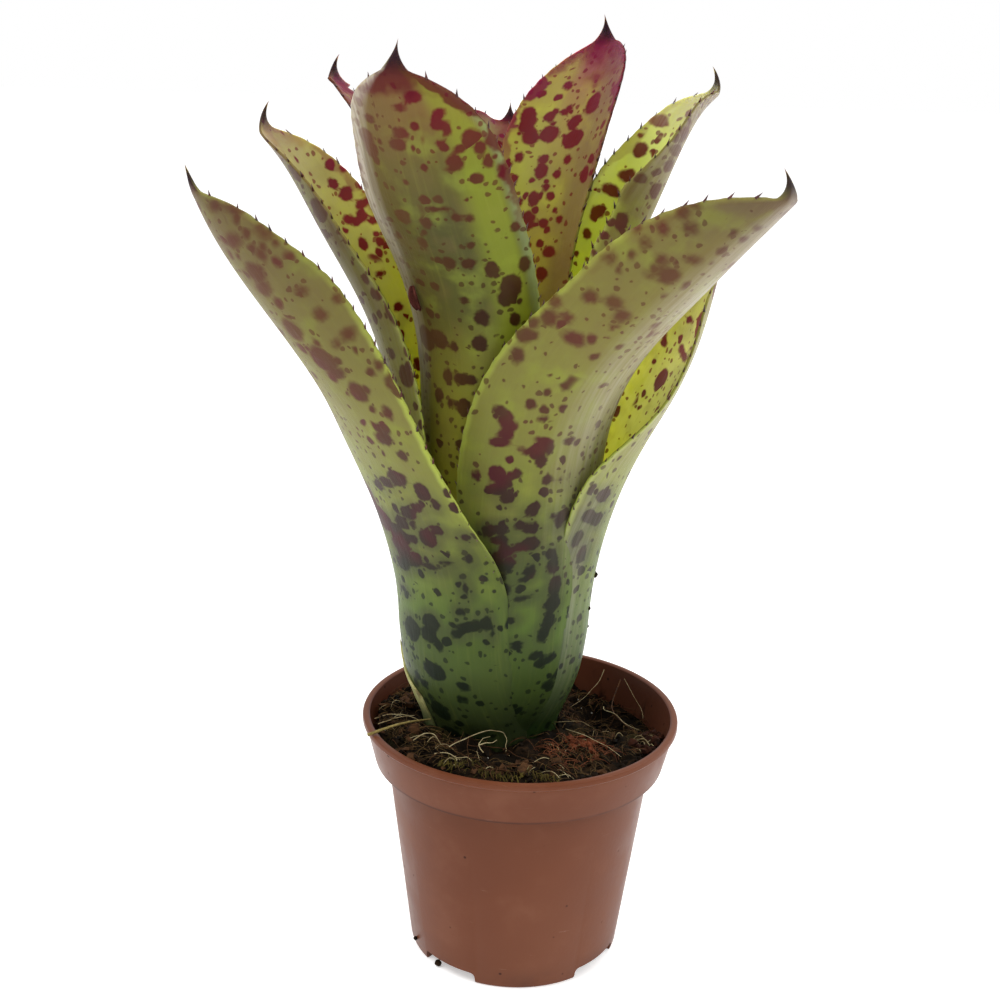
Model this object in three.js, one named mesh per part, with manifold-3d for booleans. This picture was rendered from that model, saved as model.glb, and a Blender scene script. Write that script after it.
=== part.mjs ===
// A young neoregelia bromeliad rooted in a small plastic nursery pot.
// Millimetres, +Z up. The origin is the centre of the pot's flat base, on the surface that it stands on.
// Azimuths are in degrees round the plant's axis, from +X towards +Y. The show side faces -Y.
import * as THREE from "three";
import { mergeVertices } from "three/addons/utils/BufferGeometryUtils.js";
import Module from "manifold-3d";

// ---- driving dimensions ----
const POT = {
  rimRadius: 30,
  height: 48,
  lipHeight: 1.2,
  lipWidth: 1.5,
  collarTopRadius: 29.3,
  collarBottomRadius: 27.7,
  collarHeight: 8.9,
  bodyTopRadius: 25.2,
  baseRadius: 20.4,
  wall: 1.1,
  baseEdge: 0.8, // bevel round the base
  lipEdge: 0.3, // bevel at the lip and at the collar's step
  sides: 38,
  notches: 4,
  firstNotchAzimuth: 232,
  notchWidth: 12,
  notchHeight: 2.2,
  notchDepth: 6,
};
const PLANT_AXIS = { x: -5, y: 3 };
const SEAT_GAP = 0.3; // running gap between pieces that rest on each other
const MIX = {
  level: 44.8,
  rise: 2.4,
  riseAzimuth: 235,
  footEdge: 1.2,
  stepEdge: 0.5,
  margin: 2,
  sides: 30,
  rings: 5,
};
const HOLLOW = { x: 21, y: 13, depth: 7, reach: 7 }; // where the mix has sunk, behind the plant on the right
// The mix's uneven top is a sum of waves: height, turns per millimetre along x and y in radians, and phase.
const BUMPS = [
  { height: 0.3, x: 0.61, y: 0.53, phase: 0.9 },
  { height: 0.3, x: 0.61, y: -0.53, phase: 1.7 },
  { height: 0.36, x: 1.13, y: -0.97, phase: 2.1 },
];
// The hole for the leaf tube in the mix: profile steps above the leaves' feet, up to a little over the rim.
const TUBE_HOLE = { first: 0.5, step: 2.5, over: 4 };
const SHEATH = {
  footHeight: 37, // every leaf foot sits on the stem's head at this height
  firstRadius: 1.7, // of the innermost leaf's foot
  pitch: 1.08, // from one leaf to the next outer one
  wrap: 1.95, // radians that a sheath may reach round the axis, each way
};
// Growth of every sheath's radius over that of its foot, by height.
const SHEATH_GROWTH = [
  [37, 0],
  [46, 0.7],
  [51, 2.6],
  [56, 4.3],
  [64, 5.5],
  [70, 5.9],
  [78, 6.9],
  [95, 9.3],
  [130, 13],
];
const BLADE = {
  thickness: 0.66,
  columns: 8,
  toothPitch: 4.2,
  toothReach: 0.75,
  toothPlace: 0.72, // of its cell, towards the tip
  sheathCell: 7,
  latestStart: 0.8, // of the leaf's length: it leaves the tube by there
  levelUpTo: 0.35, // of the blade, where its sections stand square to the midrib
  leanAt: [0.3, 0.6, 0.85, 1], // places along the blade, where a leaf's `lean` holds
  sectionAt: [0.35, 0.7, 0.9, 1], // and its `section`
  middle: 0.35,
  shoulder: 0.72, // of the blade, where the tip starts to round off
  widestTip: 0.93, // of the shoulder's width, before the rounding
  tipPower: 0.625, // the tip's outline is a superellipse
  tipCrowding: 1.3, // draws the stations closer together towards the tip
};
// The cusp that a leaf ends in: it widens inside the blade's end, hooks up from there and narrows to a point.
const CUSP = {
  root: 1.6, // inside the blade's end
  reach: 4.4, // past it
  halfWidth: 3.6,
  taper: 2.1,
  thinning: 0.5,
  swell: 0.35,
  swollenBy: 0.5, // of its length
  stations: [0.25, 0.6], // of its reach
};
const FLATTEST = 1e-4; // least curvature of a section, per millimetre
const PROBE = { along: 0.3, across: 0.04 }; // steps that give the slope of a leaf's surface
const STEM = {
  headRadius: 14.2,
  headThickness: 3,
  neckRadius: 7,
  neckHeight: 28,
  toeRadius: 3.4,
  toeHeight: 20,
  sides: 24,
};

// One row a leaf, from the outermost green one inwards. Its blade leaves the leaf tube at the height `departs`.
// `lean` is the blade's lean from upright in degrees and `section` the radius of its channel, both at the
// places in BLADE. `halfWidth` is that at the tube's mouth, at the blade's middle and at its shoulder. `sway`
// bends the blade sideways and `roll` turns its section, both in degrees at the tip. `hook` is how far its
// cusp bends up, in degrees.
const LEAVES = [
  {
    name: "leaf_front_left",
    layer: 10, azimuth: 213.5, length: 118, departs: 73.5, tipRound: 2.2,
    lean: [22, 34.5, 31.5, 22],
    section: [40.1, 16.6, 14.4, 7.8],
    halfWidth: [21, 17.5, 17],
    sway: -20, roll: 12.5, hook: 5,
  },
  {
    name: "leaf_right",
    layer: 9, azimuth: 7.5, length: 99, departs: 69.5, tipRound: 2.3,
    lean: [18, 27, 17.5, 12.5],
    section: [17.3, 30.6, 18.1, 9.2],
    halfWidth: [14.6, 20, 13.1],
    sway: -1, roll: -1.5, hook: 30,
  },
  {
    name: "leaf_front_right",
    layer: 8, azimuth: 315.5, length: 125.5, departs: 69, tipRound: 1.8,
    lean: [6, 40.5, 43.5, 43],
    section: [17.4, 16.2, 9.4, 7.1],
    halfWidth: [18.6, 22.1, 18.2],
    sway: 8, roll: -10, hook: 82,
  },
  {
    name: "leaf_back",
    layer: 7, azimuth: 94.5, length: 126.5, departs: 90, tipRound: 3.5,
    lean: [22, 21, 42, 65.5],
    section: [18.9, 23.7, 11.9, 5.9],
    halfWidth: [14.6, 12.4, 15.1],
    sway: -4.5, roll: 6.5, hook: 70,
  },
  {
    name: "leaf_left",
    layer: 6, azimuth: 171, length: 125.5, departs: 87.5, tipRound: 1.8,
    lean: [12, 31, 31.5, 49.5],
    section: [17, 13.9, 13.9, 18.3],
    halfWidth: [14.8, 17.7, 13.3],
    sway: -2, roll: -2.5, hook: 85,
  },
  {
    name: "leaf_back_right_outer",
    layer: 5, azimuth: 33, length: 132, departs: 78, tipRound: 1.9,
    lean: [4.5, 27.5, 23, 54],
    section: [19.6, 6.7, 10.2, 5],
    halfWidth: [17.6, 17.2, 13.6],
    sway: -9.5, roll: -9, hook: 92,
  },
  {
    name: "leaf_back_left",
    layer: 4, azimuth: 124, length: 135, departs: 88.5, tipRound: 3.5,
    lean: [7, 24, 45, 50],
    section: [13.9, 18.9, 23.7, 10.5],
    halfWidth: [16.2, 11.8, 4.9],
    sway: 15.5, roll: 18, hook: 95,
  },
  {
    name: "leaf_front_centre",
    layer: 3, azimuth: 250.5, length: 135.5, departs: 88, tipRound: 3.3,
    lean: [6, 32.5, 22.5, 15],
    section: [14, 21.3, 18.2, 27.9],
    halfWidth: [16.2, 13.3, 14],
    sway: -7.5, roll: 4.5, hook: 40,
  },
  {
    name: "leaf_back_right_inner",
    layer: 2, azimuth: 70.5, length: 141.5, departs: 94.5, tipRound: 3,
    lean: [0, 27.5, 38.5, 31.5],
    section: [18.8, 19.3, 19.3, 16.3],
    halfWidth: [16.2, 8.2, 12],
    sway: -8.5, roll: -18, hook: 65,
  },
  {
    name: "leaf_young_outer", young: true, columns: 6,
    layer: 1, azimuth: 185, length: 112, departs: 98, tipRound: 2.2,
    lean: [6, 8, 10, 8],
    section: [14, 14, 12, 9],
    halfWidth: [15, 13, 10],
    sway: 0, roll: 0, hook: 10,
  },
  {
    name: "leaf_young_inner", young: true, columns: 6,
    layer: 0, azimuth: 330, length: 78, departs: 92, tipRound: 2.2,
    lean: [6, 7, 8, 8],
    section: [12, 11, 10, 8],
    halfWidth: [13, 11, 8],
    sway: 0, roll: 0, hook: 10,
  },
  {
    name: "leaf_dried", dried: true, columns: 4,
    layer: 11, azimuth: 187, length: 20, departs: 53, tipRound: 2.7,
    lean: [23, 13, 12, 20.5],
    section: [21.1, 18.5, 16.3, 9.5],
    halfWidth: [7.7, 6.7, 5.1],
    sway: -8, roll: -1.5, hook: 0,
  },
];

// ---- small helpers ----
const radians = THREE.MathUtils.degToRad;

// A smooth curve through knots [[x, y], ...], held level past both ends.
function through(knots, x) {
  const last = knots.length - 1;
  const at = Math.min(Math.max(x, knots[0][0]), knots[last][0]);
  let i = 0;
  while (i < last - 1 && at > knots[i + 1][0]) i += 1;
  const rise = (a, b) => (knots[b][1] - knots[a][1]) / (knots[b][0] - knots[a][0]);
  const slope = (k) => {
    if (k === 0) return rise(0, 1);
    if (k === last) return rise(last - 1, last);
    return (rise(k - 1, k) + rise(k, k + 1)) / 2;
  };
  const span = knots[i + 1][0] - knots[i][0];
  const u = (at - knots[i][0]) / span;
  const [y0, y1] = [knots[i][1], knots[i + 1][1]];
  const bend0 = span * slope(i);
  const bend1 = span * slope(i + 1);
  return (
    (2 * u ** 3 - 3 * u ** 2 + 1) * y0 +
    (u ** 3 - 2 * u ** 2 + u) * bend0 +
    (3 * u ** 2 - 2 * u ** 3) * y1 +
    (u ** 3 - u ** 2) * bend1
  );
}

const sheathGrowth = (height) => through(SHEATH_GROWTH, height);
const footRadius = (layer) => SHEATH.firstRadius + SHEATH.pitch * layer;

// ---- a leaf ----
// How far along the cusp, from 0 at its root to 1 at its point.
function cuspShare(leaf, along) {
  return THREE.MathUtils.clamp((along - leaf.length + CUSP.root) / (CUSP.root + CUSP.reach), 0, 1);
}

// The midrib runs up the leaf tube and then leans out. Each row holds the distance along the leaf, the distance
// from the plant's axis, the height and the lean from upright.
function midribOf(leaf) {
  const step = 0.5;
  const rows = [{ along: 0, radius: footRadius(leaf.layer), height: SHEATH.footHeight, lean: 0 }];
  let bladeStart = 0;
  let sheathLean = 0;
  const total = leaf.length + CUSP.reach;
  for (let along = 0; along < total; along += step) {
    const from = rows[rows.length - 1];
    let lean;
    if (from.height < leaf.departs && along < leaf.length * BLADE.latestStart) {
      const below = Math.max(from.height - step, SHEATH.footHeight);
      lean = Math.atan(sheathGrowth(below + 1) - sheathGrowth(below)); // over one millimetre of height
      bladeStart = along + step;
      sheathLean = THREE.MathUtils.radToDeg(lean);
    } else {
      const t = (along + step / 2 - bladeStart) / (leaf.length - bladeStart);
      const knots = [[0, sheathLean]];
      BLADE.leanAt.forEach((place, i) => knots.push([place, leaf.lean[i]]));
      lean = radians(through(knots, t) - leaf.hook * Math.sqrt(cuspShare(leaf, along)));
    }
    rows.push({
      along: along + step,
      radius: from.radius + step * Math.sin(lean),
      height: from.height + step * Math.cos(lean),
      lean,
    });
  }
  rows[0].lean = rows[1].lean;
  return { rows, step, bladeStart };
}

function alongMidrib({ rows, step }, along) {
  const place = THREE.MathUtils.clamp(along / step, 0, rows.length - 1);
  const i = Math.min(Math.floor(place), rows.length - 2);
  const mix = (key) => THREE.MathUtils.lerp(rows[i][key], rows[i + 1][key], place - i);
  return { radius: mix("radius"), height: mix("height"), lean: mix("lean") };
}

// Half the leaf's width, measured round its curved section.
function halfWidthAt(leaf, bladeStart, sectionRadius, along) {
  const [departure, middle, shoulder] = leaf.halfWidth;
  const past = cuspShare(leaf, along);
  const cusp = past > 0 ? CUSP.halfWidth * (1 - past) ** CUSP.taper : 0;
  let width;
  if (along < bladeStart) {
    width = departure;
  } else {
    const t = Math.min(1, (along - bladeStart) / (leaf.length - bladeStart));
    const tip = Math.max(0, (t - BLADE.shoulder) / (1 - BLADE.shoulder));
    const knots = [[0, departure], [BLADE.middle, middle]];
    knots.push([BLADE.shoulder, shoulder], [1, shoulder * BLADE.widestTip]);
    const body = through(knots, t);
    width = body * Math.max(0, 1 - tip ** leaf.tipRound) ** BLADE.tipPower;
  }
  return Math.max(cusp, Math.min(width, SHEATH.wrap * sectionRadius));
}

// Radius of the leaf's section: that of the tube up to where it leaves it, then the leaf's own.
function sectionRadiusAt(leaf, midrib, along) {
  if (along < midrib.bladeStart) return alongMidrib(midrib, along).radius;
  const t = Math.min(1, (along - midrib.bladeStart) / (leaf.length - midrib.bladeStart));
  const start = alongMidrib(midrib, midrib.bladeStart).radius;
  const knots = [[0, 1 / start]];
  BLADE.sectionAt.forEach((place, i) => knots.push([place, 1 / leaf.section[i]]));
  return 1 / Math.max(through(knots, t), FLATTEST);
}

// The point of the leaf's middle surface at a distance along it and across it (-1 to 1 of the half-width).
function leafPoint(leaf, midrib, along, across, outward = 0) {
  const { radius, height, lean } = alongMidrib(midrib, along);
  const section = sectionRadiusAt(leaf, midrib, along);
  const halfWidth = halfWidthAt(leaf, midrib.bladeStart, section, along);
  const t = THREE.MathUtils.clamp((along - midrib.bladeStart) / (leaf.length - midrib.bladeStart), 0, 1);
  const azimuth = radians(leaf.azimuth + leaf.sway * t ** 1.5);
  const turn = (across * halfWidth + Math.sign(across) * outward) / section;
  const side = section * Math.sin(turn);
  const rise = section * (1 - Math.cos(turn));
  const roll = radians(leaf.roll * t);
  const away = new THREE.Vector3(Math.cos(azimuth), Math.sin(azimuth), 0);
  const round = new THREE.Vector3(-Math.sin(azimuth), Math.cos(azimuth), 0);
  // Sections lie level in the leaf tube, so that its layers nest, and square to the midrib further out.
  const tilt = lean * THREE.MathUtils.smoothstep(t, 0, BLADE.levelUpTo);
  const inward = away.clone().multiplyScalar(-Math.cos(tilt));
  inward.z += Math.sin(tilt);
  return new THREE.Vector3(PLANT_AXIS.x, PLANT_AXIS.y, height)
    .addScaledVector(away, radius)
    .addScaledVector(round, side * Math.cos(roll) - rise * Math.sin(roll))
    .addScaledVector(inward, side * Math.sin(roll) + rise * Math.cos(roll));
}

// Unit vector out of the leaf's outer face.
function leafOutward(leaf, midrib, along, across) {
  const at = (up, over) => leafPoint(leaf, midrib, along + up, across + over);
  const up = at(PROBE.along, 0).sub(at(-PROBE.along, 0));
  const over = at(0, PROBE.across).sub(at(0, -PROBE.across));
  return over.cross(up).normalize();
}

// Stations up the leaf: in the sheath at the same places for all leaves, then one a margin tooth.
function stationsOf(leaf, bladeStart) {
  const { sheathCell, toothPitch, tipCrowding } = BLADE;
  const blade = leaf.length - bladeStart;
  const inBlade = Math.round(blade / toothPitch);
  const stations = [];
  for (let along = 0; along < bladeStart - sheathCell / 2; along += sheathCell) stations.push(along);
  const inSheath = stations.length;
  for (let i = 0; i <= inBlade; i += 1) {
    const left = (1 - i / inBlade) ** tipCrowding;
    stations.push(bladeStart + blade * (1 - left));
  }
  for (const share of CUSP.stations) stations.push(leaf.length + CUSP.reach * share);
  return { stations, inSheath, lastTooth: inSheath + inBlade - 1 };
}

// One closed solid: an outer and an inner sheet with the same triangles, joined round the margin.
function leafGeometry(leaf, grow = 0) {
  const midrib = midribOf(leaf);
  const { stations, inSheath, lastTooth } = stationsOf(leaf, midrib.bladeStart);
  const columns = leaf.columns ?? BLADE.columns;
  const positions = [];
  const faces = [];
  const addPair = (along, across, outward = 0) => {
    const middle = leafPoint(leaf, midrib, along, across, outward);
    const out = leafOutward(leaf, midrib, along, THREE.MathUtils.clamp(across, -0.95, 0.95));
    const past = cuspShare(leaf, along);
    const swell = CUSP.swell * (1 - across ** 2) * (1 - past) * Math.min(1, past / CUSP.swollenBy);
    const half = (BLADE.thickness / 2) * (1 - CUSP.thinning * past) + swell + grow;
    const outer = middle.clone().addScaledVector(out, half);
    const inner = middle.clone().addScaledVector(out, -half);
    positions.push(...outer, ...inner);
    return positions.length / 6 - 1; // the pair's number
  };
  const outerOf = (pair) => pair * 2;
  const innerOf = (pair) => pair * 2 + 1;
  const vertex = (number) => new THREE.Vector3().fromArray(positions, number * 3);
  const apart = (a, b) => vertex(outerOf(a)).distanceTo(vertex(outerOf(b)));
  const sheets = (a, b, c) => {
    faces.push([outerOf(a), outerOf(b), outerOf(c)]);
    faces.push([innerOf(a), innerOf(c), innerOf(b)]);
  };
  const margin = (from, to) => {
    faces.push([outerOf(to), outerOf(from), innerOf(from)]);
    faces.push([outerOf(to), innerOf(from), innerOf(to)]);
  };

  const rows = stations.map((along) =>
    Array.from({ length: columns + 1 }, (_, j) => addPair(along, -1 + (2 * j) / columns)),
  );
  for (let i = 0; i + 1 < rows.length; i += 1) {
    const [low, high] = [rows[i], rows[i + 1]];
    for (let j = 0; j < columns; j += 1) {
      // Each cell is split along its shorter diagonal.
      if (apart(low[j], high[j + 1]) <= apart(low[j + 1], high[j])) {
        sheets(low[j], low[j + 1], high[j + 1]);
        sheets(low[j], high[j + 1], high[j]);
      } else {
        sheets(low[j], low[j + 1], high[j]);
        sheets(low[j + 1], high[j + 1], high[j]);
      }
    }
    if (i >= inSheath && i < lastTooth) {
      const along = THREE.MathUtils.lerp(stations[i], stations[i + 1], BLADE.toothPlace);
      const left = addPair(along, -1, BLADE.toothReach);
      const right = addPair(along, 1, BLADE.toothReach);
      sheets(low[0], high[0], left);
      sheets(low[columns], right, high[columns]);
      margin(high[0], left);
      margin(left, low[0]);
      margin(low[columns], right);
      margin(right, high[columns]);
    } else {
      margin(high[0], low[0]);
      margin(low[columns], high[columns]);
    }
  }
  for (let j = 0; j < columns; j += 1) margin(rows[0][j], rows[0][j + 1]);

  // The cusp's point is one vertex that both sheets share.
  const point = leafPoint(leaf, midrib, leaf.length + CUSP.reach, 0);
  positions.push(...point);
  const apex = positions.length / 3 - 1;
  const top = rows[rows.length - 1];
  for (let j = 0; j < columns; j += 1) {
    faces.push([outerOf(top[j]), outerOf(top[j + 1]), apex]);
    faces.push([innerOf(top[j]), apex, innerOf(top[j + 1])]);
  }
  faces.push([outerOf(top[0]), apex, innerOf(top[0])]);
  faces.push([apex, outerOf(top[columns]), innerOf(top[columns])]);

  const geometry = new THREE.BufferGeometry();
  geometry.setAttribute("position", new THREE.Float32BufferAttribute(positions, 3));
  geometry.setIndex(faces.flat());
  return geometry;
}

// ---- joining and cutting ----
const wasm = await Module();
wasm.setup();

function solidOf(geometry) {
  const bare = geometry.clone();
  bare.deleteAttribute("normal");
  bare.deleteAttribute("uv");
  const merged = mergeVertices(bare, 1e-4);
  const vertProperties = merged.attributes.position.array;
  const triVerts = new Uint32Array(merged.index.array);
  return new wasm.Manifold(new wasm.Mesh({ numProp: 3, vertProperties, triVerts }));
}

function geometryOf(solid) {
  const mesh = solid.getMesh();
  const geometry = new THREE.BufferGeometry();
  geometry.setAttribute("position", new THREE.Float32BufferAttribute(mesh.vertProperties, 3));
  geometry.setIndex(Array.from(mesh.triVerts));
  return geometry;
}

// A lathe turned about Z from [radius, height] points, listed from the bottom of the axis up to its top.
function turned(points, sides) {
  const profile = points.map(([radius, height]) => new THREE.Vector2(radius, height));
  return new THREE.LatheGeometry(profile, sides).rotateX(Math.PI / 2);
}

// ---- pot ----
const collarFoot = POT.height - POT.collarHeight;
const lipFoot = POT.height - POT.lipHeight;

// Inner radius of the pot's wall at a height.
function potBore(height) {
  if (height < collarFoot) {
    return THREE.MathUtils.lerp(POT.baseRadius, POT.bodyTopRadius, height / collarFoot) - POT.wall;
  }
  const share = (height - collarFoot) / POT.collarHeight;
  return THREE.MathUtils.lerp(POT.collarBottomRadius - POT.wall, POT.rimRadius - POT.lipWidth, share);
}

function potGeometry() {
  const { baseEdge, lipEdge } = POT;
  const lipInside = POT.rimRadius - POT.lipWidth;
  const profile = [
    [0, 0],
    [POT.baseRadius - baseEdge, 0],
    [POT.baseRadius, baseEdge],
    [POT.bodyTopRadius, collarFoot - lipEdge],
    [POT.collarBottomRadius, collarFoot],
    [POT.collarTopRadius, lipFoot],
    [POT.rimRadius, lipFoot + lipEdge],
    [POT.rimRadius, POT.height - lipEdge],
    [POT.rimRadius - lipEdge, POT.height],
    [lipInside + lipEdge, POT.height],
    [lipInside, POT.height - lipEdge],
    [potBore(collarFoot), collarFoot + POT.wall],
    [potBore(collarFoot - lipEdge), collarFoot - lipEdge],
    [potBore(0) - lipEdge, POT.wall + baseEdge],
    [potBore(0) - lipEdge - baseEdge, POT.wall],
    [0, POT.wall],
  ];
  let pot = solidOf(turned(profile, POT.sides));
  for (let k = 0; k < POT.notches; k += 1) {
    const azimuth = radians(POT.firstNotchAzimuth + (360 / POT.notches) * k);
    const notch = new THREE.BoxGeometry(POT.notchDepth, POT.notchWidth, POT.notchHeight * 2);
    notch.translate(POT.baseRadius, 0, 0).rotateZ(azimuth);
    pot = pot.subtract(solidOf(notch));
  }
  return geometryOf(pot);
}

// ---- potting mix and stem ----
function mixHeight(x, y) {
  const towards = radians(MIX.riseAzimuth);
  const rise = (x * Math.cos(towards) + y * Math.sin(towards)) / POT.rimRadius;
  const bumps = BUMPS.map((wave) => wave.height * Math.sin(wave.x * x + wave.y * y + wave.phase));
  const fromHollow = Math.hypot(x - HOLLOW.x, y - HOLLOW.y) / HOLLOW.reach;
  const sunk = HOLLOW.depth * Math.exp(-(fromHollow ** 2) / 2);
  return MIX.level + MIX.rise * rise - sunk + bumps.reduce((sum, bump) => sum + bump);
}

// What fills the pot's bore under an uneven top, with a hole for the stem, the leaf tube and the dried leaf.
function mixGeometry(driedLeaf) {
  const floor = POT.wall + SEAT_GAP;
  const bore = (height) => potBore(height) - SEAT_GAP;
  const filling = turned(
    [
      [0, floor],
      [bore(floor) - SEAT_GAP - MIX.footEdge, floor],
      [bore(floor) - SEAT_GAP, floor + MIX.footEdge],
      [bore(collarFoot - MIX.stepEdge), collarFoot - MIX.stepEdge],
      [bore(collarFoot), collarFoot + POT.wall],
      [bore(POT.height), POT.height],
      [0, POT.height],
    ],
    POT.sides,
  );
  let mix = solidOf(filling).intersect(solidOf(moundGeometry()));
  mix = mix.subtract(solidOf(rootHole()));
  const { halfWidth } = driedLeaf;
  const around = { ...driedLeaf, halfWidth: halfWidth.map((half) => half + SEAT_GAP) };
  // Twice the gap, so that this hole opens into that of the leaf tube.
  return geometryOf(mix.subtract(solidOf(leafGeometry(around, 2 * SEAT_GAP))));
}

// A drum wider than the pot with the mix's uneven top.
function moundGeometry() {
  const { sides, rings } = MIX;
  const reach = POT.rimRadius + MIX.margin;
  const positions = [0, 0, mixHeight(0, 0), 0, 0, 0];
  for (let ring = 1; ring <= rings + 1; ring += 1) {
    const radius = (reach * Math.min(ring, rings)) / rings;
    for (let side = 0; side < sides; side += 1) {
      const azimuth = (2 * Math.PI * side) / sides;
      const [x, y] = [radius * Math.cos(azimuth), radius * Math.sin(azimuth)];
      positions.push(x, y, ring > rings ? 0 : mixHeight(x, y));
    }
  }
  const at = (ring, side) => 2 + (ring - 1) * sides + (side % sides);
  const faces = [];
  for (let side = 0; side < sides; side += 1) {
    faces.push(0, at(1, side), at(1, side + 1));
    faces.push(1, at(rings + 1, side + 1), at(rings + 1, side));
    for (let ring = 1; ring <= rings; ring += 1) {
      faces.push(at(ring, side), at(ring + 1, side), at(ring + 1, side + 1));
      faces.push(at(ring, side), at(ring + 1, side + 1), at(ring, side + 1));
    }
  }
  const geometry = new THREE.BufferGeometry();
  geometry.setAttribute("position", new THREE.Float32BufferAttribute(positions, 3));
  geometry.setIndex(faces);
  return geometry;
}

const stemOutline = (gap) => {
  const head = SHEATH.footHeight - SEAT_GAP;
  return [
    [0, STEM.toeHeight - gap],
    [STEM.toeRadius + gap, STEM.toeHeight - gap],
    [STEM.neckRadius + gap, STEM.neckHeight - gap],
    [STEM.headRadius + gap, head - STEM.headThickness],
    [STEM.headRadius + gap, head + gap],
  ];
};

const outermost = Math.max(...LEAVES.filter((leaf) => !leaf.dried).map((leaf) => leaf.layer));

function rootHole() {
  const points = stemOutline(SEAT_GAP);
  const clear = footRadius(outermost) + BLADE.thickness / 2 + SEAT_GAP;
  const top = POT.height + TUBE_HOLE.over;
  for (let height = SHEATH.footHeight + TUBE_HOLE.first; height < top; height += TUBE_HOLE.step) {
    points.push([clear + sheathGrowth(height), height]);
  }
  points.push([0, points[points.length - 1][1]]);
  return turned(points, MIX.sides).translate(PLANT_AXIS.x, PLANT_AXIS.y, 0);
}

function stemGeometry() {
  const points = [...stemOutline(0), [0, SHEATH.footHeight - SEAT_GAP]];
  return turned(points, STEM.sides).translate(PLANT_AXIS.x, PLANT_AXIS.y, 0);
}

// ---- the whole plant in its pot ----
const plastic = { color: 0x8f5d49, roughness: 0.45, metalness: 0 };
const peat = { color: 0x2b2018, roughness: 0.95, metalness: 0 };
const stemTissue = { color: 0x8d8a5c, roughness: 0.7, metalness: 0 };
const greenBlade = { color: 0x86a23a, roughness: 0.4, metalness: 0 };
const youngBlade = { color: 0xa3bf4a, roughness: 0.4, metalness: 0 };
const driedBlade = { color: 0xa5a673, roughness: 0.8, metalness: 0 };

const plant = new THREE.Group();

function add(name, geometry, finish) {
  const mesh = new THREE.Mesh(geometry, new THREE.MeshStandardMaterial(finish));
  mesh.name = name;
  plant.add(mesh);
}

const finishOf = (leaf) => {
  if (leaf.dried) return driedBlade;
  return leaf.young ? youngBlade : greenBlade;
};

add("pot", potGeometry(), plastic);
add("potting_mix", mixGeometry(LEAVES.find((leaf) => leaf.dried)), peat);
add("stem", stemGeometry(), stemTissue);
for (const leaf of LEAVES) add(leaf.name, leafGeometry(leaf), finishOf(leaf));

export default plant;
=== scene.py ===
"""A young neoregelia bromeliad rooted in a small plastic nursery pot.

Sizes are worked out in millimetres, as in the part's solids, and every mesh is scaled to metres in the end.
"""

import math
import random
from collections import namedtuple

import bmesh
import bpy
import numpy as np
from mathutils import Matrix, Vector, noise


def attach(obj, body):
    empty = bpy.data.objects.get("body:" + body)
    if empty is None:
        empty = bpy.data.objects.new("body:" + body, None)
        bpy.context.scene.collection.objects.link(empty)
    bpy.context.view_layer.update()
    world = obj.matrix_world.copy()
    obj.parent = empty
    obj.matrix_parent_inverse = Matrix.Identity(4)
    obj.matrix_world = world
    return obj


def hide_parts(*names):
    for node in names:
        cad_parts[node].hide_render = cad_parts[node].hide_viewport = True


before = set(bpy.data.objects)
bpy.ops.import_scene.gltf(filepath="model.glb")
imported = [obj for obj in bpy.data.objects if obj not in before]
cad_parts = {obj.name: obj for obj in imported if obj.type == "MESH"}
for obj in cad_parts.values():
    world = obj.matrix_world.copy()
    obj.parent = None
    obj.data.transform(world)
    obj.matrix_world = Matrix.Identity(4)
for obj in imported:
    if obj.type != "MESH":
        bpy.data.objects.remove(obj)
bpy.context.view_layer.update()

METRES = 0.001
SCENE = bpy.context.scene

# ---- the camera, as fitted to the photo: its place in metres, its lens in millimetres ----
PIXELS = 1000  # the photo's width and height
LENS, SENSOR = 54, 36
ELEVATION, ROLL = math.radians(17.95), math.radians(1.55)
DISTANCE, TARGET = 0.27385, Vector((-0.00494, 0, 0.08996))


def camera_seat():
    """Where the camera stands and how it is turned."""
    back = Vector((0, -math.cos(ELEVATION), math.sin(ELEVATION)))
    turn = back.to_track_quat("Z", "Y").to_matrix().to_4x4()
    return Matrix.Translation(TARGET + back * DISTANCE) @ turn @ Matrix.Rotation(ROLL, 4, "Z")


def in_photo(points):
    """Of points in millimetres: their pixels from the photo's left and top, and how far off they are."""
    seen = np.array(camera_seat().inverted())
    place = points * METRES @ seen[:3, :3].T + seen[:3, 3]
    depth = -place[..., 2]
    scale = LENS / SENSOR * PIXELS / depth
    return PIXELS / 2 + place[..., 0] * scale, PIXELS / 2 - place[..., 1] * scale, depth


# ---- sizes shared with the solids ----
RIM_RADIUS = 30.0
POT_HEIGHT = 48.0
LIP_HEIGHT, LIP_WIDTH = 1.2, 1.5
COLLAR_TOP, COLLAR_BOTTOM, COLLAR_HEIGHT = 29.3, 27.7, 8.9
BODY_TOP, BASE_RADIUS = 25.2, 20.4
WALL = 1.1
RECESS_RADIUS, RECESS_DEPTH = 12, 0.5
NOTCHES, FIRST_NOTCH, NOTCH_SIZE = 4, 232, (6, 12, 4.4)
GAP = 0.3
PLANT = Vector((-5, 3, 0))
MIX_LEVEL, MIX_RISE, MIX_RISE_AZIMUTH = 44.8, 2.4, 235
HOLLOW = Vector((21, 13))
HOLLOW_DEPTH, HOLLOW_REACH = 7, 7
PIT, PIT_DEPTH, PIT_REACH = Vector((-3.8, -12.4)), 3.4, 2.2
BUMPS = ((0.3, 0.61, 0.53, 0.9), (0.3, 0.61, -0.53, 1.7), (0.36, 1.13, -0.97, 2.1))
FOOT_HEIGHT, FIRST_RADIUS, PITCH, WRAP = 37, 1.7, 1.08, 1.95
GROWTH = ((37, 0), (46, 0.7), (51, 2.6), (56, 4.3), (64, 5.5), (70, 5.9), (78, 6.9), (95, 9.3), (130, 13))
THICKNESS = 0.66
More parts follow.
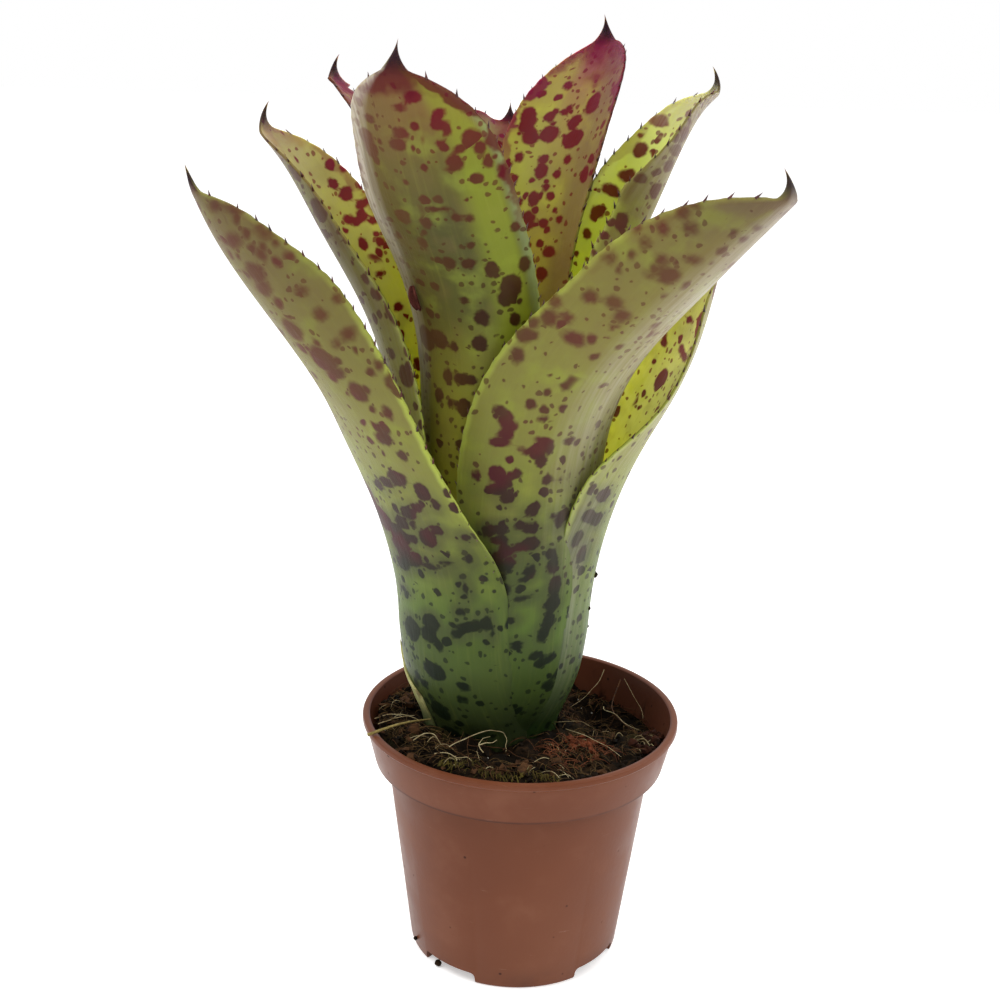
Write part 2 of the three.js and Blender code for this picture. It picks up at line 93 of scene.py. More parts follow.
LATEST_START, LEVEL_UP_TO = 0.8, 0.35
LEAN_AT, SECTION_AT = (0.3, 0.6, 0.85, 1), (0.35, 0.7, 0.9, 1)
MIDDLE, SHOULDER, WIDEST_TIP, TIP_POWER = 0.35, 0.72, 0.93, 0.625
CUSP_ROOT, CUSP_REACH, CUSP_HALF_WIDTH, CUSP_TAPER = 1.6, 4.4, 3.6, 2.1

Leaf = namedtuple("Leaf", "layer azimuth length departs tip_round lean section half_width sway roll hook")
LEAVES = {
    "leaf_front_left": Leaf(
        10, 213.5, 118, 73.5, 2.2,
        (22, 34.5, 31.5, 22), (40.1, 16.6, 14.4, 7.8), (21, 17.5, 17), -20, 12.5, 5,
    ),
    "leaf_right": Leaf(
        9, 7.5, 99, 69.5, 2.3,
        (18, 27, 17.5, 12.5), (17.3, 30.6, 18.1, 9.2), (14.6, 20, 13.1), -1, -1.5, 30,
    ),
    "leaf_front_right": Leaf(
        8, 315.5, 125.5, 69, 1.8,
        (6, 40.5, 43.5, 43), (17.4, 16.2, 9.4, 7.1), (18.6, 22.1, 18.2), 8, -10, 82,
    ),
    "leaf_back": Leaf(
        7, 94.5, 126.5, 90, 3.5,
        (22, 21, 42, 65.5), (18.9, 23.7, 11.9, 5.9), (14.6, 12.4, 15.1), -4.5, 6.5, 70,
    ),
    "leaf_left": Leaf(
        6, 171, 125.5, 87.5, 1.8,
        (12, 31, 31.5, 49.5), (17, 13.9, 13.9, 18.3), (14.8, 17.7, 13.3), -2, -2.5, 85,
    ),
    "leaf_back_right_outer": Leaf(
        5, 33, 132, 78, 1.9,
        (4.5, 27.5, 23, 54), (19.6, 6.7, 10.2, 5), (17.6, 17.2, 13.6), -9.5, -9, 92,
    ),
    "leaf_back_left": Leaf(
        4, 124, 135, 88.5, 3.5,
        (7, 24, 45, 50), (13.9, 18.9, 23.7, 10.5), (16.2, 11.8, 4.9), 15.5, 18, 95,
    ),
    "leaf_front_centre": Leaf(
        3, 250.5, 135.5, 88, 3.3,
        (6, 32.5, 22.5, 15), (14, 21.3, 18.2, 27.9), (16.2, 13.3, 14), -7.5, 4.5, 40,
    ),
    "leaf_back_right_inner": Leaf(
        2, 70.5, 141.5, 94.5, 3,
        (0, 27.5, 38.5, 31.5), (18.8, 19.3, 19.3, 16.3), (16.2, 8.2, 12), -8.5, -18, 65,
    ),
    "leaf_young_outer": Leaf(
        1, 185, 112, 98, 2.2,
        (6, 8, 10, 8), (14, 14, 12, 9), (15, 13, 10), 0, 0, 10,
    ),
    "leaf_young_inner": Leaf(
        0, 330, 78, 92, 2.2,
        (6, 7, 8, 8), (12, 11, 10, 8), (13, 11, 8), 0, 0, 10,
    ),
    "leaf_dried": Leaf(
        11, 187, 20, 53, 2.7,
        (23, 13, 12, 20.5), (21.1, 18.5, 16.3, 9.5), (7.7, 6.7, 5.1), -8, -1.5, 0,
    ),
}

# The larger blotches of each leaf, as noted on the photo: in its pixels, the place of each from the
# left and the top, and its half sizes across and up the picture.
BLOTCHES = {
    "leaf_front_left": [
        (403, 455, 4.5, 5), (398, 477, 8, 7), (387, 481, 6, 4), (380, 484, 4, 4), (423, 491, 7, 9),
        (436, 503, 4, 6), (418, 506, 6, 4), (409, 512, 7, 6), (403, 521, 6, 6), (400, 533, 8, 8),
        (402, 545, 8, 7), (413, 538, 4, 4), (428, 537, 8, 8), (437, 529, 6, 5), (410, 558, 8, 6),
        (403, 562, 5, 5), (418, 556, 5, 5), (430, 565, 10, 1.5), (448, 563, 6, 2.5), (467, 561, 3, 6),
        (384, 517, 8, 6), (372, 497, 5, 9), (465, 538, 5, 4), (405, 588, 2.5, 2.5), (461, 613, 5, 5),
        (465, 590, 3, 7), (413, 628, 8, 11), (432, 622, 8, 9), (430, 634, 9, 7), (441, 645, 4, 8),
        (457, 634, 7, 5), (465, 628, 8, 5), (474, 625, 8, 4), (485, 626, 6, 8), (491, 637, 3.5, 5),
        (435, 670, 11, 8), (413, 647, 3, 2), (426, 683, 4, 4), (464, 686, 7, 4), (433, 697, 3, 4),
        (463, 699, 5, 5), (195, 183, 8, 10), (213, 185, 8, 6), (215, 205, 8, 6), (240, 205, 14, 9),
        (270, 235, 9, 5), (262, 228, 8, 5), (262, 253, 5, 8), (235, 240, 6, 9), (257, 272, 4, 12),
        (264, 287, 5, 9), (303, 291, 6, 6), (338, 298, 5, 6), (320, 314, 7, 7), (349, 334, 9, 7),
        (338, 343, 6, 5), (335, 372, 9, 7), (379, 365, 4, 6), (358, 391, 5, 4), (389, 413, 3, 8),
        (385, 438, 8, 7),
    ],
    "leaf_front_right": [
        (500, 441, 9, 5), (476, 475, 4, 8), (497, 473, 9, 9), (505, 482, 9, 8), (498, 488, 10, 7),
        (507, 497, 7, 7), (516, 474, 6, 7), (540, 448, 7, 10), (541, 460, 7, 8), (523, 451, 5, 6),
        (547, 479, 6, 6), (566, 477, 3, 6), (531, 510, 7, 6), (535, 505, 5, 4), (502, 528, 8, 6),
        (522, 524, 6, 6), (531, 528, 8, 6), (530, 543, 9, 7), (520, 547, 8, 5), (500, 540, 9, 6),
        (488, 531, 7, 7), (505, 550, 8, 6), (495, 560, 8, 8), (510, 563, 7, 6), (497, 570, 7, 5),
        (500, 580, 6, 6), (505, 590, 6, 8), (503, 607, 6, 6), (530, 570, 6, 8), (524, 578, 6, 4),
        (550, 553, 6, 6), (552, 565, 5, 12), (554, 585, 6, 12), (551, 603, 8, 8), (548, 620, 6, 9),
        (542, 633, 6, 9), (556, 522, 3, 5), (555, 514, 5, 4), (563, 514, 5, 8), (523, 597, 9, 3),
        (509, 620, 6, 4), (516, 645, 7, 5), (535, 655, 7, 5), (540, 662, 7, 5), (550, 656, 6, 4),
        (560, 670, 7, 4), (548, 683, 7, 4), (663, 228, 8, 5), (645, 243, 7, 5), (685, 212, 9, 7),
        (690, 228, 9, 7), (695, 205, 7, 3), (693, 259, 9, 5), (662, 260, 8, 6), (650, 273, 7, 4),
        (670, 275, 10, 10), (661, 270, 8, 6), (610, 258, 8, 4), (615, 302, 10, 6), (622, 315, 9, 7),
        (614, 325, 5, 4), (590, 296, 9, 7), (575, 338, 16, 3), (555, 300, 8, 8), (550, 317, 9, 8),
        (568, 317, 6, 7), (525, 335, 9, 9), (518, 355, 7, 9), (533, 335, 6, 7), (500, 410, 7, 6),
        (506, 418, 8, 9), (507, 432, 8, 8), (512, 425, 6, 8), (497, 441, 9, 5), (543, 418, 5, 5),
        (568, 441, 6, 5),
    ],
    "leaf_front_centre": [
        (364, 88, 6, 4), (370, 117, 5, 4), (399, 107, 8, 5), (412, 96, 9, 6), (440, 112, 6, 6),
        (437, 122, 7, 8), (447, 127, 5, 8), (368, 135, 7, 7), (372, 148, 6, 8), (402, 133, 8, 6),
        (398, 143, 9, 7), (441, 143, 5, 5), (460, 148, 7, 4), (455, 160, 9, 7), (452, 167, 9, 5),
        (479, 147, 6, 9), (488, 161, 6, 7), (436, 208, 12, 3), (458, 216, 6, 5), (470, 217, 5, 5),
        (404, 215, 7, 7), (427, 222, 6, 6), (424, 242, 4, 6), (449, 262, 6, 7), (468, 262, 7, 6),
        (492, 268, 7, 10), (510, 285, 12, 12), (514, 225, 5, 5), (500, 170, 4, 8), (524, 264, 6, 8),
        (482, 317, 8, 9), (480, 343, 8, 9), (505, 297, 8, 8), (515, 318, 6, 8), (465, 300, 6, 4),
        (440, 338, 9, 9), (455, 345, 4, 6), (449, 376, 5, 9), (462, 378, 8, 6), (472, 380, 6, 6),
        (440, 395, 4, 8), (452, 403, 4, 6), (465, 408, 7, 9), (462, 443, 6, 5),
    ],
    "leaf_left": [
        (345, 194, 8, 7), (362, 204, 9, 4), (332, 185, 4, 7), (343, 168, 6, 4), (348, 220, 6, 6),
        (355, 222, 6, 5), (362, 216, 5, 7), (373, 220, 5, 5), (380, 243, 4, 7), (362, 245, 3, 8),
        (378, 274, 4, 4), (378, 295, 6, 6), (397, 307, 5, 5), (416, 363, 3, 6),
    ],
    "leaf_back_right_outer": [
        (661, 122, 11, 6), (641, 150, 8, 8), (628, 176, 9, 7), (640, 178, 6, 6), (610, 190, 12, 5),
        (599, 211, 7, 6), (587, 234, 5, 5), (593, 252, 4, 4), (621, 222, 6, 11), (688, 122, 3, 6),
        (683, 135, 5, 8), (676, 150, 5, 8), (668, 165, 4, 8), (655, 190, 3, 10),
    ],
    "leaf_back_right_inner": [
        (569, 87, 4, 5), (529, 115, 8, 8), (528, 125, 8, 10), (531, 138, 9, 8), (551, 118, 6, 6),
        (565, 113, 5, 4), (570, 109, 4, 3), (550, 135, 9, 9), (575, 123, 6, 7), (574, 140, 9, 10),
        (594, 105, 5, 10), (569, 160, 3, 5), (519, 158, 5, 6), (508, 165, 4.5, 5), (544, 160, 6, 5),
        (542, 172, 6, 9), (558, 175, 4, 5), (547, 187, 4, 5), (534, 200, 6, 8), (519, 203, 5, 6),
        (513, 183, 3, 8), (530, 218, 8, 6), (543, 224, 6, 5), (528, 225, 8, 5), (586, 175, 3, 8),
        (550, 252, 7, 6), (543, 273, 6, 7), (560, 220, 4, 4),
    ],
    "leaf_right": [
        (691, 320, 4, 4), (665, 334, 4, 3), (665, 343, 4, 4), (683, 350, 2, 5), (686, 357, 4, 4),
        (602, 495, 6, 8), (588, 517, 5, 8), (596, 518, 5, 7), (579, 540, 3, 10), (583, 555, 3, 9),
    ],
}


# ---- materials ----
def tint(red, green, blue):
    """A colour, from screen values of 0 to 255."""
    shares = (value / 255 for value in (red, green, blue))
    return (*(s / 12.92 if s <= 0.04045 else ((s + 0.055) / 1.055) ** 2.4 for s in shares), 1.0)


class Value:
    """A node's output. Python's operators add Math nodes to it."""

    def __init__(self, finish, socket):
        self.finish, self.socket = finish, socket

    def maths(self, operation, *terms):
        return self.finish.node("ShaderNodeMath", {"operation": operation}, dict(enumerate(terms)))

    def __add__(self, other):
        return self.maths("ADD", self, other)

    def __sub__(self, other):
        return self.maths("SUBTRACT", self, other)

    def __rsub__(self, other):
        return self.maths("SUBTRACT", other, self)

    def __mul__(self, other):
        return self.maths("MULTIPLY", self, other)

    def least(self, other):
        return self.maths("MINIMUM", self, other)

    def most(self, other):
        return self.maths("MAXIMUM", self, other)

    def size(self):
        return self.maths("ABSOLUTE", self)

    __radd__ = __add__
    __rmul__ = __mul__


class Finish:
    """A material on one Principled surface. Constants are set on its sockets, by name."""

    def __init__(self, name, **constants):
        self.material = bpy.data.materials.new(name)
        self.material.use_nodes = True
        self.tree = self.material.node_tree
        self.tree.nodes.clear()
        self.surface = self.tree.nodes.new("ShaderNodeBsdfPrincipled")
        output = self.tree.nodes.new("ShaderNodeOutputMaterial")
        self.tree.links.new(self.surface.outputs[0], output.inputs[0])
        for key, value in constants.items():
            self.surface.inputs[key.replace("_", " ")].default_value = value

    def node(self, kind, settings=None, inputs=None, output=0):
        made = self.tree.nodes.new(kind)
        for key, value in (settings or {}).items():
            if key == "stops":
                stops = made.color_ramp.elements
                while len(stops) < len(value):
                    stops.new(1)
                for stop, (place, colour) in zip(stops, value):
                    stop.position, stop.color = place, colour
            else:
                setattr(made, key, value)
        for key, value in (inputs or {}).items():
            self.feed(made.inputs[key], value)
        return Value(self, made.outputs[output])

    def feed(self, socket, value):
        if isinstance(value, Value):
            self.tree.links.new(value.socket, socket)
        else:
            socket.default_value = value

    def set(self, **sockets):
        for key, value in sockets.items():
            self.feed(self.surface.inputs[key.replace("_", " ")], value)
        return self

    def coordinates(self, kind="Object"):
        return self.node("ShaderNodeTexCoord", output=kind)

    def attribute(self, name, output="Fac"):
        return self.node("ShaderNodeAttribute", {"attribute_name": name}, output=output)

    def parts(self, vector):
        return [self.node("ShaderNodeSeparateXYZ", inputs={0: vector}, output=k) for k in range(3)]

    def scaled(self, vector, scale):
        return self.node("ShaderNodeMapping", inputs={"Vector": vector, "Scale": scale})

    def moved(self, vector, by, amount):
        """The vector, shifted by a noise colour that is centred on nought."""
        centred = self.node("ShaderNodeVectorMath", {"operation": "SUBTRACT"}, {0: by, 1: (0.5, 0.5, 0.5)})
        share = self.node("ShaderNodeVectorMath", {"operation": "SCALE"}, {0: centred, "Scale": amount})
        return self.node("ShaderNodeVectorMath", {"operation": "ADD"}, {0: vector, 1: share})

    def noise(self, vector, scale, detail=2.0, roughness=0.5, output="Fac"):
        settings = {"Vector": vector, "Scale": scale, "Detail": detail, "Roughness": roughness}
        return self.node("ShaderNodeTexNoise", inputs=settings, output=output)

    def cells(self, vector, scale, output="Distance", flat=True):
        settings = {"voronoi_dimensions": "2D" if flat else "3D"}
        return self.node("ShaderNodeTexVoronoi", settings, {"Vector": vector, "Scale": scale}, output)

    def span(self, value, low, high, start=0.0, end=1.0):
        """Rises smoothly from start to end while the value goes from low to high."""
        limits = {"Value": value, "From Min": low, "From Max": high, "To Min": start, "To Max": end}
        return self.node("ShaderNodeMapRange", {"interpolation_type": "SMOOTHSTEP"}, limits)

    def ramp(self, value, *stops):
        return self.node("ShaderNodeValToRGB", {"stops": stops}, {"Fac": value})

    def mix(self, first, second, share):
        """A colour mix. Its colour sockets have the same names as others, so they go by number."""
        return self.node("ShaderNodeMix", {"data_type": "RGBA"}, {0: share, 6: first, 7: second}, 2)

    def bump(self, height, depth, under=None):
        """A normal for a relief of so many millimetres."""
        inputs = {"Height": height, "Distance": depth * METRES, "Strength": 1.0}
        if under:
            inputs["Normal"] = under
        return self.node("ShaderNodeBump", inputs=inputs)


def spots_of(finish, surface, size, chance, soft, least, most):
    """Round spots: one a cell at most, of a radius between least and most of the cell, as a mask."""
    distance = finish.cells(surface, 1 / size)
    draw = finish.parts(finish.cells(surface, 1 / size, "Color"))
    radius = draw[0] * (most - least) + least
    edge = finish.span(distance - radius, soft * -1, soft, 1, 0)
    return edge * finish.span(draw[1] - chance, -0.01, 0.01, 1, 0)


# Colours along each kind of leaf face, from the foot up: millimetres along it, its ground and its blotches.
LONGEST = 146
FACES = {
    "leaf_outer_face": (
        (0, (14, 20, 8), (6, 10, 5)),
        (12, (36, 54, 22), (14, 24, 12)),
        (24, (64, 82, 34), (22, 30, 18)),
        (35, (84, 106, 44), (34, 38, 27)),
        (46, (94, 107, 50), (44, 42, 34)),
        (60, (126, 131, 60), (60, 40, 36)),
        (74, (132, 131, 64), (80, 46, 38)),
        (94, (128, 122, 62), (90, 52, 38)),
        (112, (124, 114, 64), (88, 52, 40)),
        (126, (110, 96, 74), (74, 50, 48)),
    ),
    # The inner faces' ground is paler than the leaf's own, most round 56 mm: painted light through the leaf
    # where the rosette shades it.
    "leaf_inner_face": (
        (0, (40, 50, 10), (16, 14, 8)),
        (56, (238, 240, 168), (120, 76, 50)),
        (80, (206, 206, 112), (122, 32, 26)),
        (105, (172, 168, 82), (112, 12, 24)),
        (125, (152, 142, 94), (88, 14, 28)),
    ),
    "heart_outer_face": (
        (0, (30, 36, 10), (16, 12, 6)),
        (60, (156, 156, 56), (56, 36, 14)),
        (76, (136, 136, 50), (58, 30, 14)),
        (92, (88, 89, 40), (54, 28, 15)),
        (106, (77, 77, 37), (68, 38, 21)),
        (120, (99, 92, 42), (88, 38, 28)),
        (134, (133, 101, 56), (104, 8, 32)),
    ),
    "heart_inner_face": (
        (0, (40, 40, 12), (24, 14, 8)),
        (70, (160, 160, 48), (84, 36, 16)),
        (95, (156, 142, 54), (100, 30, 18)),
        (110, (148, 140, 58), (98, 4, 14)),
        (124, (150, 130, 66), (98, 0, 20)),
        (138, (140, 70, 80), (104, 2, 40)),
    ),
}


def face_ramp(finish, rise, rows, column):
    return finish.ramp(rise, *((row[0] / LONGEST, tint(*row[column])) for row in rows))


class LeafFace(Finish):
    """One face of a green leaf. The UV map is in millimetres, across and along the leaf."""

    def __init__(self, name):
        self.outside, self.heart = "outer" in name, "heart" in name
        super().__init__(
            name,
            IOR=1.42,
            Specular_IOR_Level=0.1,
            Subsurface_Weight=0.5 if self.outside else 1.0,
            Subsurface_Radius=(1.0, 1.0, 0.35),
            Subsurface_Scale=1.6 * METRES,
        )
        self.flat = self.coordinates("UV")
        self.share, self.margin, self.across = self.parts(self.attribute("place", "Vector"))
        self.blush, self.veil, self.rise = self.parts(self.attribute("traits", "Vector"))
        self.blotch, self.plenty, self.blurred = self.parts(self.attribute("marks", "Vector"))
        self.broad = self.noise(self.flat, 0.07, 2)
        self.mottle = self.noise(self.flat, 0.16, 3)
        self.streak = self.noise(self.scaled(self.flat, (1.1, 0.05, 1)), 1.0, 3, 0.6)
        self.fine = self.noise(self.scaled(self.flat, (5.5, 0.2, 1)), 1.0, 2, 0.6)
        place = self.rise + (self.broad - 0.5) * 0.08
        self.ground = face_ramp(self, place, FACES[name], 1)
        self.spot_colour = face_ramp(self, place, FACES[name], 2)

    def tinge(self, colour, amount):
        """Mixes a colour into the ground."""
        self.ground = self.mix(self.ground, colour, amount)

    def tinge_spots(self, colour, amount):
        """Mixes a colour into that of the spots."""
        self.spot_colour = self.mix(self.spot_colour, colour, amount)

    def add_mottling(self):
        lower = self.span(self.rise, 0.2, 0.4)
        fresh = tint(150, 166, 60) if self.outside else tint(196, 200, 60)
        self.tinge(fresh, self.span(self.mottle, 0.5, 0.72) * lower * 0.35)
        self.tinge(tint(118, 96, 62), self.span(self.mottle, 0.5, 0.3) * lower * 0.22)

    def add_smudges(self):
        """Round the blotches of the leaf tube the ground is dark too, so that they run together."""
        low = self.span(self.rise, 0.16, 0.24) * self.span(self.rise, 0.46, 0.36)
        self.tinge(tint(58, 60, 44), self.span(self.blotch, 0.2, 2.2, 1, 0) * low * 0.55)

    def add_crimson_patches(self):
        crimson = self.span(self.noise(self.flat, 0.09, 2), 0.48, 0.64) * self.span(self.rise, 0.26, 0.36)
        self.tinge_spots(tint(92, 22, 42), crimson * 0.45)

    def add_heart_bands(self):
        """Brown on one half, painted shade, and brighter on the other, painted light through the leaf.
        Outside that is a band of the same painted light, with a pale cool margin, a painted highlight.
        """
        if self.outside:
            self.tinge(tint(104, 84, 46), self.span(self.across, 0.1, -0.8) * 0.5)
            self.tinge_spots(tint(92, 64, 40), self.span(self.across, 0.25, -0.4) * 0.7)
            painted_light_band = self.span(self.across, 0.3, 0.6) * self.span(self.across, 0.95, 0.8)
            self.tinge(tint(146, 162, 38), painted_light_band * 0.5)
            self.tinge(tint(140, 158, 112), self.span(self.across, 0.84, 0.98) * 0.6)
        else:
            self.tinge(tint(112, 80, 56), self.span(self.across, 0.05, -0.6) * 0.6)
            self.tinge(tint(168, 176, 54), self.span(self.across, 0.1, 0.6) * 0.4)

    def add_veins(self):
        self.tinge(tint(168, 176, 78), self.span(self.streak, 0.5, 0.8) * 0.08)
        self.tinge(tint(84, 90, 40), self.span(self.fine, 0.5, 0.85) * 0.1)

    def add_dulling_and_painted_glow(self):
        """Dulls the ground of some leaves towards the tip. On the inner face of others it paints the glow of
        light through the leaf, and pales the spots.
        """
        shade = self.attribute("shade")
        dull = shade * self.span(self.share, 0.35, 1.0, 0.6, 2.4)
        self.tinge(tint(86, 66, 58), dull.least(0.8).most(0))
        if not self.outside:
            self.tinge(tint(228, 243, 156), (shade * -1).most(0))
            self.tinge_spots(tint(136, 70, 46), (shade * -0.7).most(0))

    def add_bright_margin(self):
        edge = self.span(self.margin, 0.2, 1.3, 1, 0) * self.span(self.share, 0.42, 0.52)
        fading = self.span(self.share, 0.6, 0.85, 0.75, 0.25)
        self.tinge(tint(172, 186, 84), edge * (1 - self.blush) * fading)

    def spots(self):
        """The leaf's own blotches and spots of three sizes in drifts, as a mask, and how deep they are.

        Some blur towards the tip.
        """
        surface = self.moved(self.flat, self.noise(self.flat, 0.3, 2, output="Color"), 1.6)
        surface = self.moved(surface, self.noise(self.flat, 1.2, 2, output="Color"), 0.3)
        blur = self.span(self.share, 0.45, 0.8) * self.blurred
        drift = self.span(self.noise(self.flat, 0.1, 2), 0.35, 0.65)
        soft = blur * 0.09 + 0.035
        chance = drift * 0.5 + 0.2
        large = spots_of(self, surface, 6.4, self.plenty * chance, soft, 0.14, 0.44)
        medium = spots_of(self, surface, 3.0, (self.plenty * 0.5 + 0.5) * chance, soft * 1.6, 0.12, 0.36)
        small = spots_of(self, surface, 1.7, drift * 0.35 + 0.22, 0.07, 0.08, 0.32)
        ragged = (self.noise(self.flat, 0.45, 2) - 0.5) * 1.3
        softness = blur * 0.5 + 0.22
        own = self.span(self.blotch + ragged, softness * -1, softness, 1, 0)
        patchy = self.span(self.noise(self.flat, 0.3, 2), 0.3, 0.7, 0.96 if self.outside else 1.0, 1.0)
        return large.most(medium).most(own).most(small * 0.8), patchy * (1 - blur * 0.12)

    def reddened(self, colour):
        """The colour with crimson towards the tip and along the margin near it."""
        start, full, uneven = (0.915, 0.955, 0.14) if self.outside else (0.9, 0.96, 0.2)
        near_tip = self.span(self.share + (self.mottle - 0.5) * uneven, start, full)
        near_edge = self.span(self.margin + (self.mottle - 0.5) * 9, 0.6, 1.5, 1, 0)
        near_edge *= self.span(self.share, 0.72, 0.84)
        red = (near_tip * 0.92).most(near_edge * 0.95) * self.blush
        return self.mix(colour, tint(86, 4, 26) if self.outside else tint(108, 4, 46), red.least(0.95))

    def filmed(self, colour, spots):
        """The colour under a film of fine scales in long streaks, on one flank or, inside, near the tip. On
        the outer face the pale film is partly painted sheen on that flank, and on the heart leaves' inner
        face the purple-grey film is painted shade under the curled margin.
        """
        if self.outside:
            film = self.span(self.streak, 0.3, 0.7, 0.45, 1.0) * self.veil * (1 - spots * 0.4)
            return self.mix(colour, tint(184, 175, 162), film.least(0.85))
        if self.heart:
            return self.mix(colour, tint(112, 62, 80), self.span(self.streak, 0.3, 0.7, 0.6, 1.0) * self.veil)
        film = self.span(self.streak, 0.3, 0.7, 0.3, 0.8) * self.veil * self.span(self.share, 0.84, 0.94)
        return self.mix(colour, tint(184, 175, 162), film)


def leaf_finish(name):
    """Outer or inner face of a green leaf, dark at the cusp."""
    face = LeafFace(name)
    face.add_mottling()
    if face.outside:
        face.add_smudges()
    if face.outside and not face.heart:
        face.add_crimson_patches()
    if face.heart:
        face.add_heart_bands()
    face.add_veins()
    face.add_dulling_and_painted_glow()
    face.add_bright_margin()
    spots, depth = face.spots()
    colour = face.mix(face.ground, face.spot_colour, spots * depth)
    colour = face.filmed(face.reddened(colour), spots)
    colour = face.mix(colour, tint(40, 26, 34), face.span(face.share, 0.955, 0.98) * 0.94)
    rough = face.span(face.broad, 0.3, 0.7, 0.36, 0.44) + spots * 0.04
    relief = face.bump(face.fine, 0.03)
    relief = face.bump(face.streak, 0.05, relief)
    relief = face.bump(face.noise(face.flat, 0.4, 3), 0.12, relief)
    return face.set(Base_Color=colour, Roughness=rough, Normal=relief)


def rim_finish():
    finish = Finish("leaf_margin", IOR=1.42, Specular_IOR_Level=0.1)
    share, _, _ = finish.parts(finish.attribute("place", "Vector"))
    blush, _, rise = finish.parts(finish.attribute("traits", "Vector"))
    flat = finish.coordinates("UV")
    patch = finish.noise(flat, 0.5, 2)
    ground = face_ramp(finish, rise, FACES["leaf_outer_face"], 1)
    bright = finish.span(rise, 0.28, 0.4) * finish.span(share, 0.6, 0.85, 0.8, 0.3)
    pale = finish.mix(ground, tint(164, 176, 80), bright)
    red = finish.span(share + (patch - 0.5) * 0.4, 0.55, 0.9) * blush
    colour = finish.mix(pale, tint(92, 16, 34), red)
    colour = finish.mix(colour, tint(42, 28, 34), finish.span(share, 0.955, 0.98) * 0.9)
    return finish.set(Base_Color=colour, Roughness=finish.span(patch, 0.3, 0.7, 0.4, 0.55))


def spine_finish():
    finish = Finish("spines", IOR=1.45)
    place = finish.coordinates()
    patch = finish.noise(place, 900, 2)
    colour = finish.ramp(patch, (0.3, tint(40, 18, 18)), (0.7, tint(92, 38, 34)))
    return finish.set(Base_Color=colour, Roughness=finish.span(patch, 0.3, 0.7, 0.3, 0.5))


def dried_finish():
    finish = Finish("dried_leaf")
    flat = finish.coordinates("UV")
    fibre = finish.noise(finish.scaled(flat, (4.0, 0.2, 1)), 1.0, 3, 0.65)
    patch = finish.noise(flat, 0.35, 3)
    straw, pale, chalky = tint(146, 142, 78), tint(184, 180, 112), tint(206, 200, 146)
    colour = finish.ramp(fibre, (0.25, straw), (0.55, pale), (0.8, chalky))
    colour = finish.mix(colour, tint(84, 62, 36), finish.span(patch, 0.52, 0.72) * 0.7)
    share = finish.parts(finish.attribute("place", "Vector"))[0]
    colour = finish.mix(tint(64, 80, 34), colour, finish.span(share + (patch - 0.5) * 0.3, 0.3, 0.75))
    relief = finish.bump(fibre, 0.25)
    return finish.set(Base_Color=colour, Roughness=finish.span(patch, 0.3, 0.7, 0.6, 0.8), Normal=relief)


def plastic_finish(name, soil_and_shade=0.0):
    """Terracotta-brown moulded plastic with dust, scuffs and a little of the mix stuck to it, and a painted
    shade line under the collar's step. With soil_and_shade it is darker all over, painted shade inside the
    pot, and smeared with the mix.
    """
    finish = Finish(name, IOR=1.49, Specular_IOR_Level=0.12)
    place = finish.coordinates()
    broad = finish.noise(place, 22, 3)
    cloud = finish.noise(place, 90, 4, 0.6)
    colour = finish.ramp(broad, (0.3, tint(98, 54, 35)), (0.5, tint(106, 60, 39)), (0.72, tint(114, 68, 46)))
    colour = finish.mix(colour, tint(140, 96, 76), finish.span(cloud, 0.5, 0.8) * 0.2)
    height = finish.parts(place)[2]
    scuff = finish.noise(finish.scaled(place, (1, 1, 7)), 130, 4, 0.7)
    colour = finish.mix(colour, tint(168, 132, 116), finish.span(scuff, 0.66, 0.8) * 0.3)
    # A thin painted shade line under the collar's step, uneven in clouds.
    step = (height - (POT_HEIGHT - COLLAR_HEIGHT) * METRES).size()
    painted_step_shade = finish.span(step, 0.0002, 0.0007, 1, 0) * finish.span(cloud, 0.3, 0.6, 0.2, 0.7)
    colour = finish.mix(colour, tint(58, 32, 24), painted_step_shade)
    low = finish.span(height, 0.0, 0.006, 1, 0)
    colour = finish.mix(colour, tint(70, 40, 30), low * finish.span(cloud, 0.4, 0.7) * 0.5)
    grains = finish.cells(place, 420, flat=False)
    rare = finish.parts(finish.cells(place, 420, "Color", flat=False))[0]
    dirt = finish.span(grains, 0.06, 0.16, 1, 0) * finish.span(rare, 0.9 - soil_and_shade * 0.3, 0.92 - soil_and_shade * 0.3)
    if soil_and_shade:
        smear = finish.noise(finish.scaled(place, (1, 1, 0.35)), 210, 4, 0.7)
        # Inside the pot: darker all over, painted shade, then smears of the mix lower down.
        colour = finish.mix(colour, tint(62, 28, 25), soil_and_shade * 0.38)
        smeared = finish.span(smear + (0.0415 - height) * 30, 0.5, 0.75)
        colour = finish.mix(colour, tint(18, 11, 9), smeared * soil_and_shade * 0.9)
    colour = finish.mix(colour, tint(46, 28, 22), dirt * 0.85)
    rough = finish.span(cloud, 0.3, 0.75, 0.3, 0.46) + dirt * 0.3
    relief = finish.bump(finish.noise(place, 1500, 2), 0.012)
    relief = finish.bump(cloud, 0.06, relief)
    return finish.set(Base_Color=colour, Roughness=rough, Normal=relief)


def peat_finish():
    finish = Finish("peat_mix", Specular_IOR_Level=0.04)
    place = finish.coordinates()
    clump = finish.noise(place, 140, 4, 0.65)
    grain = finish.noise(place, 900, 4, 0.7)
    colour = finish.ramp(
        clump * 0.6 + grain * 0.4,
        (0.34, tint(8, 6, 4)),
        (0.5, tint(22, 16, 10)),
        (0.62, tint(52, 36, 22)),
        (0.78, tint(98, 72, 44)),
    )
    moss = finish.span(finish.noise(place, 60, 3), 0.56, 0.72)
    colour = finish.mix(colour, tint(64, 58, 24), moss * 0.3)
    relief = finish.bump(grain, 0.5)
    relief = finish.bump(clump, 1.2, relief)
    return finish.set(Base_Color=colour, Roughness=finish.span(grain, 0.3, 0.7, 0.75, 1.0), Normal=relief)


